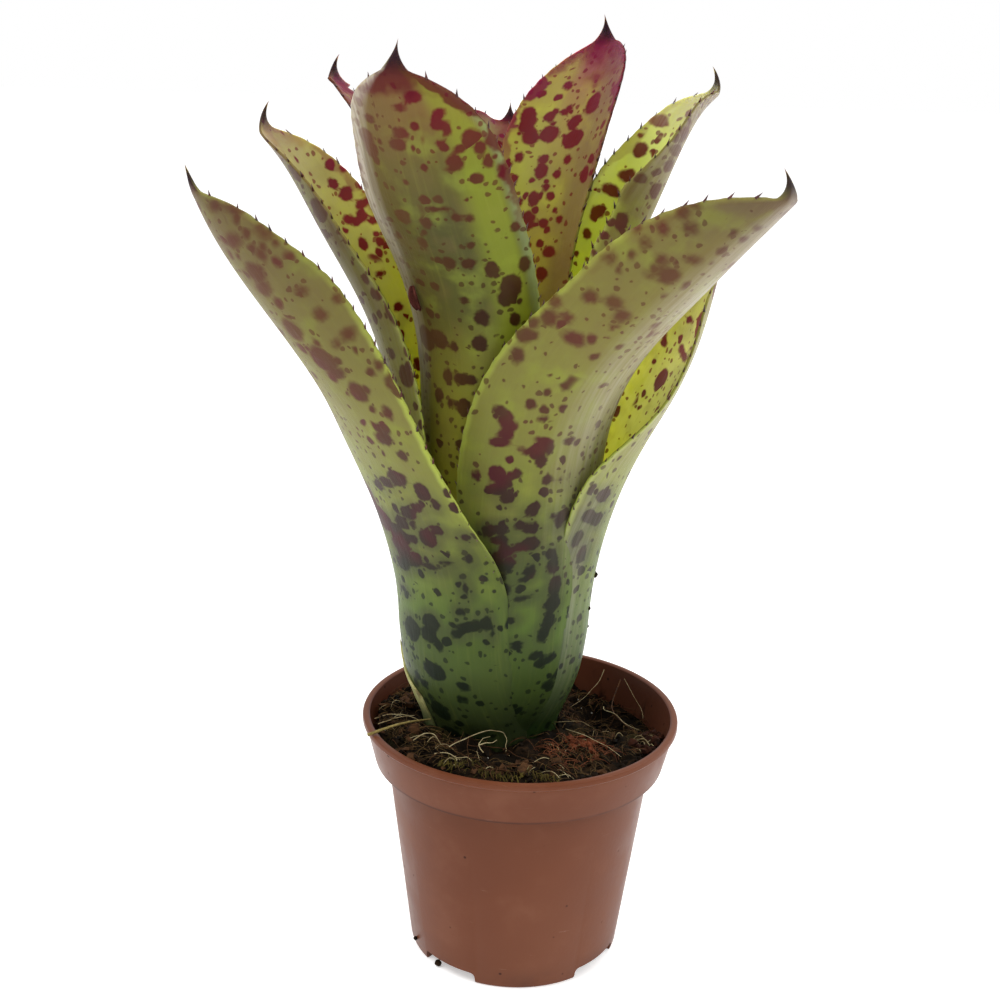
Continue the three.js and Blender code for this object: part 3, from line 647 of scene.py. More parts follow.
def fleck_finish(name, dark, light, scale=700, rough=(0.6, 0.95), relief=0.2, stretch=(1, 1, 1)):
    """A natural finish between two colours, in grains of a given fineness."""
    finish = Finish(name, Specular_IOR_Level=0.06)
    place = finish.scaled(finish.coordinates(), stretch)
    grain = finish.noise(place, scale, 4, 0.65)
    patch = finish.noise(place, scale * 0.2, 2)
    colour = finish.ramp(grain * 0.6 + patch * 0.4, (0.36, dark), (0.64, light))
    normal = finish.bump(grain, relief)
    return finish.set(Base_Color=colour, Roughness=finish.span(grain, 0.3, 0.7, *rough), Normal=normal)


# ---- meshes ----
def add_piece(name, bm, finishes, slot, replaced=(), smooth=True):
    """Scales a shape to metres, makes it an object and joins it to the plant's body."""
    bmesh.ops.scale(bm, vec=(METRES,) * 3, verts=bm.verts)
    for face in bm.faces:
        face.smooth = smooth
    mesh = bpy.data.meshes.new(name)
    bm.to_mesh(mesh)
    bm.free()
    return add_mesh(name, mesh, finishes, slot, replaced)


def add_mesh(name, mesh, finishes, slot, replaced=()):
    for finish in finishes:
        mesh.materials.append(finish.material)
    made = bpy.data.objects.new(name, mesh)
    SCENE.collection.objects.link(made)
    if slot:
        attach(made, "root")
    if replaced:
        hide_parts(*replaced)
    return made


def turned(points, steps):
    """A closed body turned about the pot's axis, from (radius, height) points."""
    bm = bmesh.new()
    line = [bm.verts.new((radius, 0, height)) for radius, height in points]
    edges = [bm.edges.new(pair) for pair in zip(line, line[1:])]
    bmesh.ops.spin(
        bm, geom=line + edges, axis=(0, 0, 1), cent=(0, 0, 0), angle=math.tau, steps=steps, use_merge=True
    )
    bmesh.ops.remove_doubles(bm, verts=bm.verts, dist=1e-4)
    bmesh.ops.recalc_face_normals(bm, faces=bm.faces)
    return bm


def through(knots, x):
    """A smooth curve through knots of (x, y), held level past both ends."""
    last = len(knots) - 1
    x = min(max(x, knots[0][0]), knots[last][0])
    i = 0
    while i < last - 1 and x > knots[i + 1][0]:
        i += 1

    def rise(a, b):
        return (knots[b][1] - knots[a][1]) / (knots[b][0] - knots[a][0])

    def slope(k):
        if k in (0, last):
            return rise(0, 1) if k == 0 else rise(last - 1, last)
        return (rise(k - 1, k) + rise(k, k + 1)) / 2

    width = knots[i + 1][0] - knots[i][0]
    u = (x - knots[i][0]) / width
    ends = (2 * u**3 - 3 * u**2 + 1) * knots[i][1] + (3 * u**2 - 2 * u**3) * knots[i + 1][1]
    return ends + width * ((u**3 - 2 * u**2 + u) * slope(i) + (u**3 - u**2) * slope(i + 1))


def clamp(value, low=0.0, high=1.0):
    return min(max(value, low), high)


class Blade:
    """The middle surface of a leaf, in millimetres, as the part's solids have it."""

    def __init__(self, name):
        self.name, self.leaf = name, LEAVES[name]
        leaf, step = self.leaf, 0.5
        rows = [[0.0, FIRST_RADIUS + PITCH * leaf.layer, FOOT_HEIGHT, 0.0]]
        self.start = sheath_lean = 0.0
        along = 0.0
        while along < leaf.length + CUSP_REACH:
            _, radius, height, _ = rows[-1]
            if height < leaf.departs and along < leaf.length * LATEST_START:
                below = max(height - step, FOOT_HEIGHT)
                lean = math.atan(through(GROWTH, below + 1) - through(GROWTH, below))
                self.start, sheath_lean = along + step, math.degrees(lean)
            else:
                t = (along + step / 2 - self.start) / (leaf.length - self.start)
                lean = through([(0, sheath_lean), *zip(LEAN_AT, leaf.lean)], t)
                lean = math.radians(lean - leaf.hook * math.sqrt(self.cusp_share(along)))
            along += step
            rows.append([along, radius + step * math.sin(lean), height + step * math.cos(lean), lean])
        rows[0][3] = rows[1][3]
        self.rows = np.array(rows)
        self.end = leaf.length + CUSP_REACH

    def cusp_share(self, along):
        """How far along the cusp, whose root starts inside the blade's end."""
        return clamp((along - self.leaf.length + CUSP_ROOT) / (CUSP_ROOT + CUSP_REACH))

    def share(self, along):
        """How far up the blade, from 0 where it leaves the leaf tube to 1 at its end."""
        return clamp((along - self.start) / (self.leaf.length - self.start))

    def midrib(self, along):
        return [float(np.interp(along, self.rows[:, 0], self.rows[:, k])) for k in (1, 2, 3)]

    def section(self, along):
        if along < self.start:
            return self.midrib(along)[0]
        knots = [(0, 1 / self.midrib(self.start)[0]), *zip(SECTION_AT, [1 / r for r in self.leaf.section])]
        return 1 / max(through(knots, self.share(along)), 1e-4)

    def half_width(self, along):
        departure, middle, shoulder = self.leaf.half_width
        past = self.cusp_share(along)
        cusp = CUSP_HALF_WIDTH * (1 - past) ** CUSP_TAPER if past > 0 else 0
        width = departure
        if along >= self.start:
            t = self.share(along)
            tip = max(0, (t - SHOULDER) / (1 - SHOULDER))
            knots = [(0, departure), (MIDDLE, middle), (SHOULDER, shoulder), (1, shoulder * WIDEST_TIP)]
            width = through(knots, t) * max(0, 1 - tip**self.leaf.tip_round) ** TIP_POWER
        return max(cusp, min(width, WRAP * self.section(along)))

    def points(self, along, across, reach=0.0):
        """Points at one distance along the leaf and an array of places across it, from -1 to 1."""
        radius, height, lean = self.midrib(along)
        section, t = self.section(along), self.share(along)
        azimuth = math.radians(self.leaf.azimuth + self.leaf.sway * t**1.5)
        turn = (across * self.half_width(along) + np.sign(across) * reach) / section
        side, rise = section * np.sin(turn), section * (1 - np.cos(turn))
        roll = math.radians(self.leaf.roll * t)
        up_to = clamp(t / LEVEL_UP_TO)
        tilt = lean * up_to * up_to * (3 - 2 * up_to)
        away = np.array([math.cos(azimuth), math.sin(azimuth), 0])
        around = np.array([-math.sin(azimuth), math.cos(azimuth), 0])
        inward = away * -math.cos(tilt) + np.array([0, 0, math.sin(tilt)])
        sideways = side * math.cos(roll) - rise * math.sin(roll)
        inwards = side * math.sin(roll) + rise * math.cos(roll)
        middle = np.array([PLANT.x, PLANT.y, height]) + radius * away
        return middle + sideways[:, None] * around + inwards[:, None] * inward

    def outward(self, along, across):
        """Unit normals out of the outer face."""
        step, over = 0.3, 0.02
        up = self.points(min(along + step, self.end), across) - self.points(max(along - step, 0), across)
        wide = self.points(along, across + over) - self.points(along, across - over)
        normal = np.cross(wide, up)
        return normal / np.maximum(np.linalg.norm(normal, axis=1), 1e-9)[:, None]


# ---- leaves ----
SPINE_PITCH = 2.8
SPINE_LENGTH, SPINE_RADIUS, SPINE_ROOT = 1.15, 0.26, 0.2
SCALLOP = 0.16
COLUMNS = 34
SEAMS_SHUT, SEAMS_OPEN = 74, 92
MARGIN_SINK, MARGIN_THINNING = 0.04, 0.85
PATTERN_STRIDE = 170.0  # sets the leaves' patterns apart, past the longest leaf
NO_BLOTCH = (0, -99, 1, 1)
NOTING_STEP, NOTING_COLUMNS = 0.4, 121  # of the grid that notes are looked up on: its step along, its columns
NEAR, LONGEST_SHIFT = 2, 1.5  # from a note to its place on that grid, in pixels and in millimetres
LEAST_BLOTCH, LARGEST_BLOTCH = 0.4, 4.5
SHEET_LEVEL = 0.01  # half the distance between the two sheets before they take their places


def stations_of(blade):
    """Distances along a leaf: the leaf tube, the blade and, in finer steps, the cusp."""
    sheath = np.arange(0, blade.start - 0.5, 1.0)
    rest = np.arange(blade.start, blade.leaf.length - CUSP_ROOT - 0.3, 0.75)
    return np.concatenate([sheath, rest, np.linspace(blade.leaf.length - CUSP_ROOT, blade.end, 20)])


TUBE_LEAVES = {}


def shoulder(across):
    """How much of a margin's sinking a place across a leaf takes part in."""
    towards = np.clip((abs(across) - 0.5) / 0.5, 0, 1)
    return towards * towards * (3 - 2 * towards)


def surface_below(height, azimuth):
    """Greatest radius of the leaves shaped so far, at a height and an azimuth in degrees."""
    widest = 0.0
    for other, falls in TUBE_LEAVES.values():
        at = float(np.interp(height, other.rows[:, 2], other.rows[:, 0]))
        if other.half_width(at) < 1:
            continue
        radius = other.midrib(at)[0]
        off = math.radians((azimuth - other.leaf.azimuth + 180) % 360 - 180)
        across = off * radius / other.half_width(at)
        if abs(across) < 1:
            towards = float(shoulder(across))
            fall = float(np.interp(height, falls[:, 3], falls[:, 0 if across < 0 else 1]))
            widest = max(widest, radius - towards * fall + THICKNESS / 2 * (1 - MARGIN_THINNING * towards))
    return widest


def closing(blade, stations):
    """Of each station: how far each margin sinks onto the leaves inside, how shut the tube is, the height."""
    rows = []
    for along in stations:
        radius, height, _ = blade.midrib(along)
        shut = clamp((SEAMS_OPEN - height) / (SEAMS_OPEN - SEAMS_SHUT))
        shut *= shut * (3 - 2 * shut)
        half = math.degrees(blade.half_width(along) / radius) * 0.97
        below = [shut and surface_below(height, blade.leaf.azimuth + side * half) for side in (-1, 1)]
        rows.append((*(radius + MARGIN_SINK - under if under else 0 for under in below), shut, height))
    falls = np.array(rows)
    even = np.ones(5) / 5
    for k in (0, 1):
        falls[:, k] = np.convolve(np.pad(falls[:, k], 2, mode="edge"), even, "valid") * falls[:, 2]
    TUBE_LEAVES[blade.name] = (blade, falls)
    return falls


def leaf_shell(rows):
    """The sheets of an outer and an inner face, joined along their rim, with so many rows of faces."""
    bm = bmesh.new()
    bmesh.ops.create_grid(bm, x_segments=COLUMNS, y_segments=rows, size=1)
    copied = bmesh.ops.duplicate(bm, geom=bm.verts[:] + bm.edges[:] + bm.faces[:])["geom"]
    inner = [item for item in copied if isinstance(item, bmesh.types.BMVert)]
    inner_faces = [item for item in copied if isinstance(item, bmesh.types.BMFace)]
    bmesh.ops.translate(bm, vec=(0, 0, -2 * SHEET_LEVEL), verts=inner)
    bmesh.ops.reverse_faces(bm, faces=inner_faces)
    for face in inner_faces:
        face.material_index = 1
    rim = bmesh.ops.bridge_loops(bm, edges=[edge for edge in bm.edges if edge.is_boundary])["faces"]
    for face in rim:
        face.material_index = 2
    bmesh.ops.recalc_face_normals(bm, faces=bm.faces)
    return bm


def leaf_body(blade, stations, across, spines):
    """By station and column: points of the leaf's middle surface, their normals and the half thickness."""
    middle, normal, half = [], [], []
    for along, fall in zip(stations, closing(blade, stations)):
        teeth = 0.5 + 0.5 * math.cos(math.tau * along / SPINE_PITCH)
        begun = clamp((along - blade.start - 8) / 10)
        scallop = SCALLOP * teeth * begun * clamp((blade.leaf.length - 2 - along) / 3)
        reach = np.where(abs(across) > 0.9, scallop, 0)
        middle.append(blade.points(along, across, reach))
        normal.append(blade.outward(along, np.clip(across, -0.95, 0.95)))
        towards = shoulder(across) if spines else 0.75 + 0 * across
        middle[-1] -= normal[-1] * (towards * np.where(across < 0, fall[0], fall[1]))[:, None]
        thinned = 1 - MARGIN_THINNING * towards * (fall[2] if spines else 0.3)
        past = blade.cusp_share(along)
        swell = 0.35 * (1 - across**2) * (1 - past) * min(1, past * 2)
        half.append((THICKNESS / 2 * (1 - 0.35 * across**4)) * (1 - past**2) * thinned + swell)
    return np.array(middle), np.array(normal), np.array(half)


def blotches_of(blade):
    """The noted blotches on a leaf's outer and inner face, in millimetres.

    Each is its place across and along the leaf and its half sizes. A note goes to the part of the leaf that
    the camera sees there or, past the leaf's edge, to the nearest.
    """
    along = np.arange(0, blade.end, NOTING_STEP)
    across = np.linspace(-1, 1, NOTING_COLUMNS)
    left, top, depth = in_photo(np.array([blade.points(at, across) for at in along]))
    wide = np.outer([blade.half_width(at) for at in along], across)
    up = np.repeat(along[:, None], NOTING_COLUMNS, axis=1)
    slopes = [np.gradient(values) for values in (left, top, wide, up)]
    faces = ([], [])
    for x, y, *sizes in BLOTCHES.get(blade.name, ()):
        off = np.hypot(left - x, top - y)
        at = np.unravel_index(np.where(off < NEAR, depth, 1 + off).argmin(), off.shape)
        turns = np.array([[slope[at] for slope in pair] for pair in slopes])
        per_pixel = turns[2:] @ np.linalg.inv(turns[:2])
        shift = np.clip(per_pixel @ (x - left[at], y - top[at]), -LONGEST_SHIFT, LONGEST_SHIFT)
        halves = np.clip(np.linalg.norm(per_pixel * sizes, axis=1), LEAST_BLOTCH, LARGEST_BLOTCH)
        outer = np.linalg.det(turns[:2]) > 0
        faces[0 if outer else 1].append((wide[at] + shift[0], up[at] + shift[1], *halves))
    return faces


def off_blotches(blotches, wide, along):
    """Millimetres from a place on a face to its nearest blotch, less than nought inside one."""
    x, y, wide_half, long_half = blotches.T
    outside = np.hypot((wide - x) / wide_half, (along - y) / long_half) - 1
    return (outside * np.minimum(wide_half, long_half)).min()


def leaf_piece(name, finishes, slot, traits, blur=0.15, spines=True):
    """A leaf with its margin, cusp and spines, which stands for the solid of that name."""
    blade = Blade(name)
    stations = stations_of(blade)
    even = np.linspace(-1, 1, COLUMNS + 1)
    across = 0.62 * even + 0.38 * np.sin(even * math.pi / 2)
    bm = leaf_shell(len(stations) - 1)
    middle, normal, half = leaf_body(blade, stations, across, spines)

    flat = bm.loops.layers.uv.new("flat")
    place = bm.verts.layers.float_vector.new("place")
    own = bm.verts.layers.float_vector.new("traits")
    marks = bm.verts.layers.float_vector.new("marks")
    shade = bm.verts.layers.float.new("shade")
    blotches = [np.array(rows or [NO_BLOTCH]) for rows in blotches_of(blade)]
    widths = np.array([blade.half_width(along) for along in stations])
    blush, dullness_and_glow, (veil_side, veil_from, veil_full, veil_up, strength) = traits
    where = {}
    for vert in bm.verts:
        i = round((vert.co.y + 1) / 2 * (len(stations) - 1))
        j = round((vert.co.x + 1) / 2 * COLUMNS)
        side = 1 if vert.co.z > -SHEET_LEVEL else -1
        along, wide = float(stations[i]), float(across[j] * widths[i])
        where[vert] = (wide, along + PATTERN_STRIDE * blade.leaf.layer)
        vert[place] = (along / blade.end, widths[i] - abs(wide), across[j])
        # The veil: grey scales, partly painted sheen on one flank; on the heart leaves' inner face, painted
        # shade.
        veiled = clamp((across[j] * veil_side - veil_from) / (veil_full - veil_from))
        veiled *= clamp((along / blade.end - veil_up) / 0.25) * strength
        vert[own] = (blush, veiled, along / LONGEST)
        # Below nought this paints light through the leaf on its inner face.
        vert[shade] = dullness_and_glow
        rows = blotches[side < 0]
        off = off_blotches(rows, wide, along)
        vert[marks] = (off, 1.0 if len(rows) == 1 else 0.15, 0.15 if side < 0 else blur)
        vert.co = middle[i, j] + side * half[i, j] * normal[i, j]
    for face in bm.faces:
        for loop in face.loops:
            loop[flat].uv = where[loop.vert]
    bmesh.ops.remove_doubles(bm, verts=bm.verts, dist=1e-3)
    if spines:
        add_spines(bm, blade)
    return add_piece(name + "_blade", bm, finishes, slot, [name])


def add_spines(bm, blade):
    """Small hooked spines along both margins, leaning towards the tip."""
    draw = random.Random(blade.leaf.layer)
    along = blade.start + 9
    while along < blade.leaf.length - 0.8:
        for side in (-1.0, 1.0):
            there = along + draw.uniform(-0.35, 0.35)
            edge = np.array([side])
            base = Vector(blade.points(there, edge, SCALLOP * 0.5)[0])
            out = (base - Vector(blade.points(there, edge * 0.97)[0])).normalized()
            up = Vector((blade.points(there + 0.5, edge) - blade.points(there, edge))[0]).normalized()
            grown = clamp((there - blade.start - 4) / 20, 0.35, 1) * draw.uniform(0.7, 1.15)
            length, radius = SPINE_LENGTH * grown, SPINE_RADIUS * grown
            lean = (out + up * draw.uniform(0.8, 1.3)).normalized()
            turn = lean.to_track_quat("Z", "Y").to_matrix().to_4x4()
            seat = Matrix.Translation(base - lean * SPINE_ROOT + lean * length / 2) @ turn
            made = bmesh.ops.create_cone(
                bm, cap_ends=True, segments=5, radius1=radius, radius2=0.0, depth=length, matrix=seat
            )["verts"]
            point = max(made, key=lambda v: (v.co - base).dot(lean))
            bmesh.ops.translate(bm, vec=up * 0.3 * grown, verts=[point])
            for face in {face for vert in made for face in vert.link_faces}:
                face.material_index = 3
        along += SPINE_PITCH


# ---- pot ----
POT_STEPS = 120
SHARP_FROM = math.radians(28)


def pot_bore(height):
    """Inner radius of the pot's wall."""
    foot = POT_HEIGHT - COLLAR_HEIGHT
    if height < foot:
        return BASE_RADIUS + (BODY_TOP - BASE_RADIUS) * height / foot - WALL
    share = (height - foot) / COLLAR_HEIGHT
    return COLLAR_BOTTOM - WALL + share * (RIM_RADIUS - LIP_WIDTH - COLLAR_BOTTOM + WALL)


def pot_profile():
    """Places of (radius, height) round the pot's wall: up its outside, over the rim and down its inside."""
    foot, lip = POT_HEIGHT - COLLAR_HEIGHT, POT_HEIGHT - LIP_HEIGHT
    inside = RIM_RADIUS - LIP_WIDTH
    return [
        (0, RECESS_DEPTH), (RECESS_RADIUS, RECESS_DEPTH), (RECESS_RADIUS + 0.6, 0),
        (BASE_RADIUS - 0.8, 0), (BASE_RADIUS - 0.2, 0.2), (BASE_RADIUS, 0.8),
        (BODY_TOP - 0.05, foot - 0.7), (BODY_TOP + 0.3, foot - 0.25), (COLLAR_BOTTOM - 0.5, foot - 0.08),
        (COLLAR_BOTTOM - 0.1, foot + 0.06), (COLLAR_BOTTOM, foot + 0.4), (COLLAR_TOP - 0.05, lip - 0.9),
        (COLLAR_TOP + 0.1, lip - 0.25), (RIM_RADIUS - 0.25, lip), (RIM_RADIUS, lip + 0.3),
        (RIM_RADIUS, POT_HEIGHT - 0.4), (RIM_RADIUS - 0.12, POT_HEIGHT - 0.12),
        (RIM_RADIUS - 0.4, POT_HEIGHT),
        (inside + 0.4, POT_HEIGHT), (inside + 0.12, POT_HEIGHT - 0.12), (inside, POT_HEIGHT - 0.4),
        (pot_bore(foot), foot + WALL), (pot_bore(foot - GAP), foot - GAP), (pot_bore(0) - 0.3, WALL + 0.8),
        (pot_bore(0) - 1.1, WALL), (0, WALL),
    ]  # fmt: skip


def notch_cutter():
    """A block for each drainage notch, rounded along its top."""
    bm = bmesh.new()
    for k in range(NOTCHES):
        azimuth = math.radians(FIRST_NOTCH + 360 / NOTCHES * k)
        seat = Matrix.Rotation(azimuth, 4, "Z") @ Matrix.Translation((BASE_RADIUS, 0, 0))
        bmesh.ops.create_cube(bm, size=1, matrix=seat @ Matrix.Diagonal((*NOTCH_SIZE, 1)))
    top = [edge for edge in bm.edges if all(end.co.z > 0 for end in edge.verts)]
    bmesh.ops.bevel(bm, geom=top, offset=0.9, segments=4, profile=0.5, affect="EDGES", material=-1)
    return add_piece("notch_cutter", bm, [], None)


def pot_piece(finishes):
    """The pot. The inside of its wall has the second finish."""
    bm = turned(pot_profile(), POT_STEPS)
    for face in bm.faces:
        middle = face.calc_center_median()
        inside_wall = face.normal.x * middle.x + face.normal.y * middle.y < -1 and middle.z > WALL
        face.material_index = 1 if inside_wall else 0
    pot = add_piece("pot_body", bm, finishes, "pot_plastic", ["pot"])
    cutter = notch_cutter()
    cut = pot.modifiers.new("notches", "BOOLEAN")
    cut.object, cut.operation, cut.solver = cutter, "DIFFERENCE", "EXACT"
    mesh = bpy.data.meshes.new_from_object(pot.evaluated_get(bpy.context.evaluated_depsgraph_get()))
    pot.modifiers.clear()
    shaped = bmesh.new()
    shaped.from_mesh(mesh)
    for edge in shaped.edges:
        edge.smooth = edge.calc_face_angle(0) < SHARP_FROM
    shaped.to_mesh(mesh)
    shaped.free()
    pot.data = mesh
    bpy.data.objects.remove(cutter)
    edge = pot.modifiers.new("soft_edges", "BEVEL")
    edge.width, edge.segments = 0.12 * METRES, 2
    edge.limit_method, edge.angle_limit = "ANGLE", math.radians(50)
    return pot


# ---- potting mix ----
BED_RINGS, BED_STEPS, STAND_IN = 34, 180, 100
SOCKET_RADIUS, SOCKET_DEPTH, SOCKET_FLOOR = 14.5, 3, 19.7
LEVEL_WITH_MIX = 9  # how far along a leaf it comes out of the mix
HIGHEST_BED, HIGHEST_CRUMB, WIDEST_STRAND = 47.6, 49.5, 27


def mix_height(x, y):
    """The potting mix's top as the solid has it."""
    towards = math.radians(MIX_RISE_AZIMUTH)
    rise = (x * math.cos(towards) + y * math.sin(towards)) / RIM_RADIUS
    bumps = sum(height * math.sin(a * x + b * y + phase) for height, a, b, phase in BUMPS)
    sunk = HOLLOW_DEPTH * math.exp(-(((Vector((x, y)) - HOLLOW).length / HOLLOW_REACH) ** 2) / 2)
    return MIX_LEVEL + MIX_RISE * rise - sunk + bumps


def ledge_height(x, y):
    """Least height of the mix there. Near the wall it lies on the ledge inside the pot's collar."""
    ledge = POT_HEIGHT - COLLAR_HEIGHT + WALL + 0.6
    return ledge - 0.8 * max(0, BODY_TOP - WALL - math.hypot(x, y))


def tube_radius(azimuth):
    """Outer radius of the leaf tube where it enters the mix."""
    widest = 0.0
    for name in LEAVES:
        blade = BLADES[name]
        off = (azimuth - blade.leaf.azimuth + 180) % 360 - 180
        radius = blade.midrib(LEVEL_WITH_MIX)[0]
        if abs(math.radians(off)) < blade.half_width(LEVEL_WITH_MIX) / radius:
            widest = max(widest, radius + THICKNESS / 2)
    return widest


def bed_point(share, azimuth):
    """A point on the mix's top, from 0 against the leaf tube to 1 against the pot's wall."""
    rounded = TUBE[round(azimuth) % 360]
    turn = math.radians(azimuth)
    direction = Vector((math.cos(turn), math.sin(turn), 0))
    inner = PLANT + direction * (rounded + 0.05)
    outer = direction * (pot_bore(MIX_LEVEL - 0.8) - GAP - 0.3)
    spot = inner.lerp(outer, share)
    clump = noise.noise(Vector((spot.x, spot.y, 3)) * 0.33) * 0.9
    clump += noise.noise(Vector((spot.x, spot.y, 9)) * 0.9) * 0.45
    edge = 0.5 * math.exp(-share * 12)
    pit = PIT_DEPTH * math.exp(-(((spot.xy - PIT).length / PIT_REACH) ** 2))
    height = mix_height(spot.x, spot.y) + clump + edge - pit
    spot.z = min(max(height, ledge_height(spot.x, spot.y) + clump * 0.2), HIGHEST_BED)
    return spot


def bed_piece(finish):
    """The whole body of the mix, with a fine, clumped top."""
    bottom, foot, head = WALL + GAP, POT_HEIGHT - COLLAR_HEIGHT, FOOT_HEIGHT - GAP
    top = [(RIM_RADIUS + k, STAND_IN + k) for k in range(BED_RINGS + 1)]  # bed_point puts these in place
    profile = [
        (0, bottom), (pot_bore(bottom) - 1.8, bottom), (pot_bore(bottom) - 0.6, bottom + 1.2),
        (pot_bore(foot - 0.5) - GAP, foot - 0.5), (pot_bore(foot) - GAP, foot + WALL),
        *top,
        (SOCKET_RADIUS, head + GAP), (SOCKET_RADIUS, head - SOCKET_DEPTH),
        (7.3, 27.7), (3.7, SOCKET_FLOOR), (0, SOCKET_FLOOR),
    ]  # fmt: skip
    bm = turned(profile, BED_STEPS)
    for vert in bm.verts:
        azimuth = math.degrees(math.atan2(vert.co.y, vert.co.x)) % 360
        if vert.co.z > STAND_IN - 1:
            ring = round(vert.co.z - STAND_IN)
            vert.co = bed_point(1 - ring / BED_RINGS, azimuth)
        elif vert.co.z > SOCKET_FLOOR - 1 and vert.co.xy.length < SOCKET_RADIUS + 0.1:
            vert.co += PLANT
    return add_piece("potting_mix_bed", bm, [finish], "peat_mix", ["potting_mix"])


def astray(draw, reach):
    """A small random shift."""
    return Vector((draw.uniform(-1, 1), draw.uniform(-1, 1), draw.uniform(-1, 1))) * reach


def crumbs_piece(name, finish, count, sizes, seed, where=None, flatness=(0.5, 0.9), sink=0.25):
    """Angular crumbs and chips that lie on the mix, each with its own shape."""
    draw = random.Random(seed)
    bm = bmesh.new()
    for _ in range(count):
        share, azimuth = (draw.random() ** 0.7, draw.uniform(0, 360)) if where is None else where(draw)
        spot = bed_point(share, azimuth)
        size = draw.uniform(*sizes) * (0.45 if (spot.xy - PIT).length < PIT_REACH else 1)
        shape = Matrix.Diagonal((size, size * draw.uniform(0.5, 0.9), size * draw.uniform(*flatness), 1))
        lean = Matrix.Rotation(draw.uniform(-0.6, 0.6), 4, "X")
        lean @= Matrix.Rotation(draw.uniform(-0.6, 0.6), 4, "Y")
        turn = Matrix.Rotation(draw.uniform(0, math.tau), 4, "Z")
        seat = Matrix.Translation(spot + Vector((0, 0, size * (0.5 - sink) * 0.6))) @ turn @ lean @ shape
        for vert in bmesh.ops.create_icosphere(bm, subdivisions=1, radius=0.5, matrix=seat)["verts"]:
            vert.co += astray(draw, size * 0.13)
            vert.co.z = min(vert.co.z, HIGHEST_CRUMB)
    return add_piece(name, bm, [finish], "peat_mix", smooth=False)


def strand_piece(name, finish, strands, steps):
    """Roots and fibres: each strand is a list of points and a radius, thinner towards its end."""
    line = bpy.data.curves.new(name, "CURVE")
    line.dimensions, line.resolution_u = "3D", steps
    line.bevel_depth, line.bevel_resolution, line.use_fill_caps = 1.0, 1, True
    for points, radius in strands:
        spline = line.splines.new("NURBS")
        spline.points.add(len(points) - 1)
        spline.use_endpoint_u, spline.order_u = True, 4
        for k, (at, point) in enumerate(zip(spline.points, points)):
            at.co = (*(Vector(point) * METRES), 1)
            at.radius = radius * METRES * (1 - 0.55 * k / (len(points) - 1))
    holder = bpy.data.objects.new(name + "_line", line)
    SCENE.collection.objects.link(holder)
    mesh = bpy.data.meshes.new_from_object(holder.evaluated_get(bpy.context.evaluated_depsgraph_get()))
    bpy.data.objects.remove(holder)
    mesh.materials.clear()
    for face in mesh.polygons:
        face.use_smooth = True
    return add_mesh(name, mesh, [finish], "peat_mix")


def wandering(draw, share, azimuth, length, lift):
    """Points of a strand that lies over the mix from a place on it."""
    start = bed_point(share, azimuth)
    heading = draw.uniform(0, math.tau)
    points, x, y = [], start.x, start.y
    count = max(5, round(length / 1.6))
    for k in range(count):
        hump = math.sin(math.pi * k / (count - 1)) * lift * draw.uniform(0.6, 1.2)
        reach = math.hypot(x, y)
        if reach > WIDEST_STRAND:
            x, y = x * WIDEST_STRAND / reach, y * WIDEST_STRAND / reach
        points.append((x, y, max(mix_height(x, y), ledge_height(x, y)) + 0.5 + hump))
        heading += draw.uniform(-0.35, 0.35)
        x += length / count * math.cos(heading)
        y += length / count * math.sin(heading)
    return points


BLADES = {name: Blade(name) for name in LEAVES}
STEPPED_TUBE = [tube_radius(azimuth) for azimuth in range(360)]
TUBE = [sum(STEPPED_TUBE[(azimuth + k) % 360] for k in range(-6, 7)) / 13 for azimuth in range(360)]

RIM, SPINE = rim_finish(), spine_finish()
OUTER, INNER, HEART_OUTER, HEART_INNER = (leaf_finish(name) for name in FACES)
DRIED = dried_finish()

# Of each leaf: how red its tip is, how dull its ground is (below nought the inner face is brighter, with
# painted light through the leaf), and its grey veil of scales, partly painted sheen and shade: the side it
# lies on, the shares across where it starts and is full, the share along where it starts, and its strength.
TRAITS = {
    "leaf_front_left": (0.1, 0.2, (-1, 0.1, 0.9, 0.62, 0.3)),
    "leaf_right": (0.2, 0.0, (-1, 0.3, 0.8, 0.1, 0.3)),
    "leaf_front_right": (0.15, 0.1, (1, -0.35, 0.1, 0.3, 0.6)),
    "leaf_back": (1.0, 0.2, (-1, 0.4, 0.9, 0.6, 0.5)),
    "leaf_left": (0.5, 0.05, (1, 0.0, 0.9, 0.2, 0.25)),
    "leaf_back_right_outer": (0.3, -0.54, (-1, -1.4, -1.1, 0.76, 0.9)),
    "leaf_back_left": (0.8, 0.2, (-1, 0.4, 0.9, 0.6, 0.5)),
    "leaf_front_centre": (0.9, 0.06, (-1, 0.6, 0.88, 0.3, 1.0)),
    "leaf_back_right_inner": (1.0, 0.05, (-1, 0.25, 0.9, 0.74, 0.7)),
    "leaf_young_outer": (0.4, 0.0, (1, 0.5, 0.9, 0.6, 0.2)),
    "leaf_young_inner": (0.3, 0.0, (1, 0.5, 0.9, 0.6, 0.2)),
}
HEART = ("leaf_front_centre", "leaf_back_right_inner", "leaf_back", "leaf_back_left")
for name in reversed(TRAITS):
    traits = TRAITS[name]
    blur = 1.0 if name in ("leaf_front_left", "leaf_front_right") else 0.15
    faces = (HEART_OUTER, HEART_INNER) if name in HEART else (OUTER, INNER)
    leaf_piece(name, [*faces, RIM, SPINE], "young_blade" if "young" in name else "leaf_blade", traits, blur)
leaf_piece("leaf_dried", [DRIED, DRIED, DRIED], "dried_blade", (0, 0, (1, 0, 1, 0, 0)), spines=False)

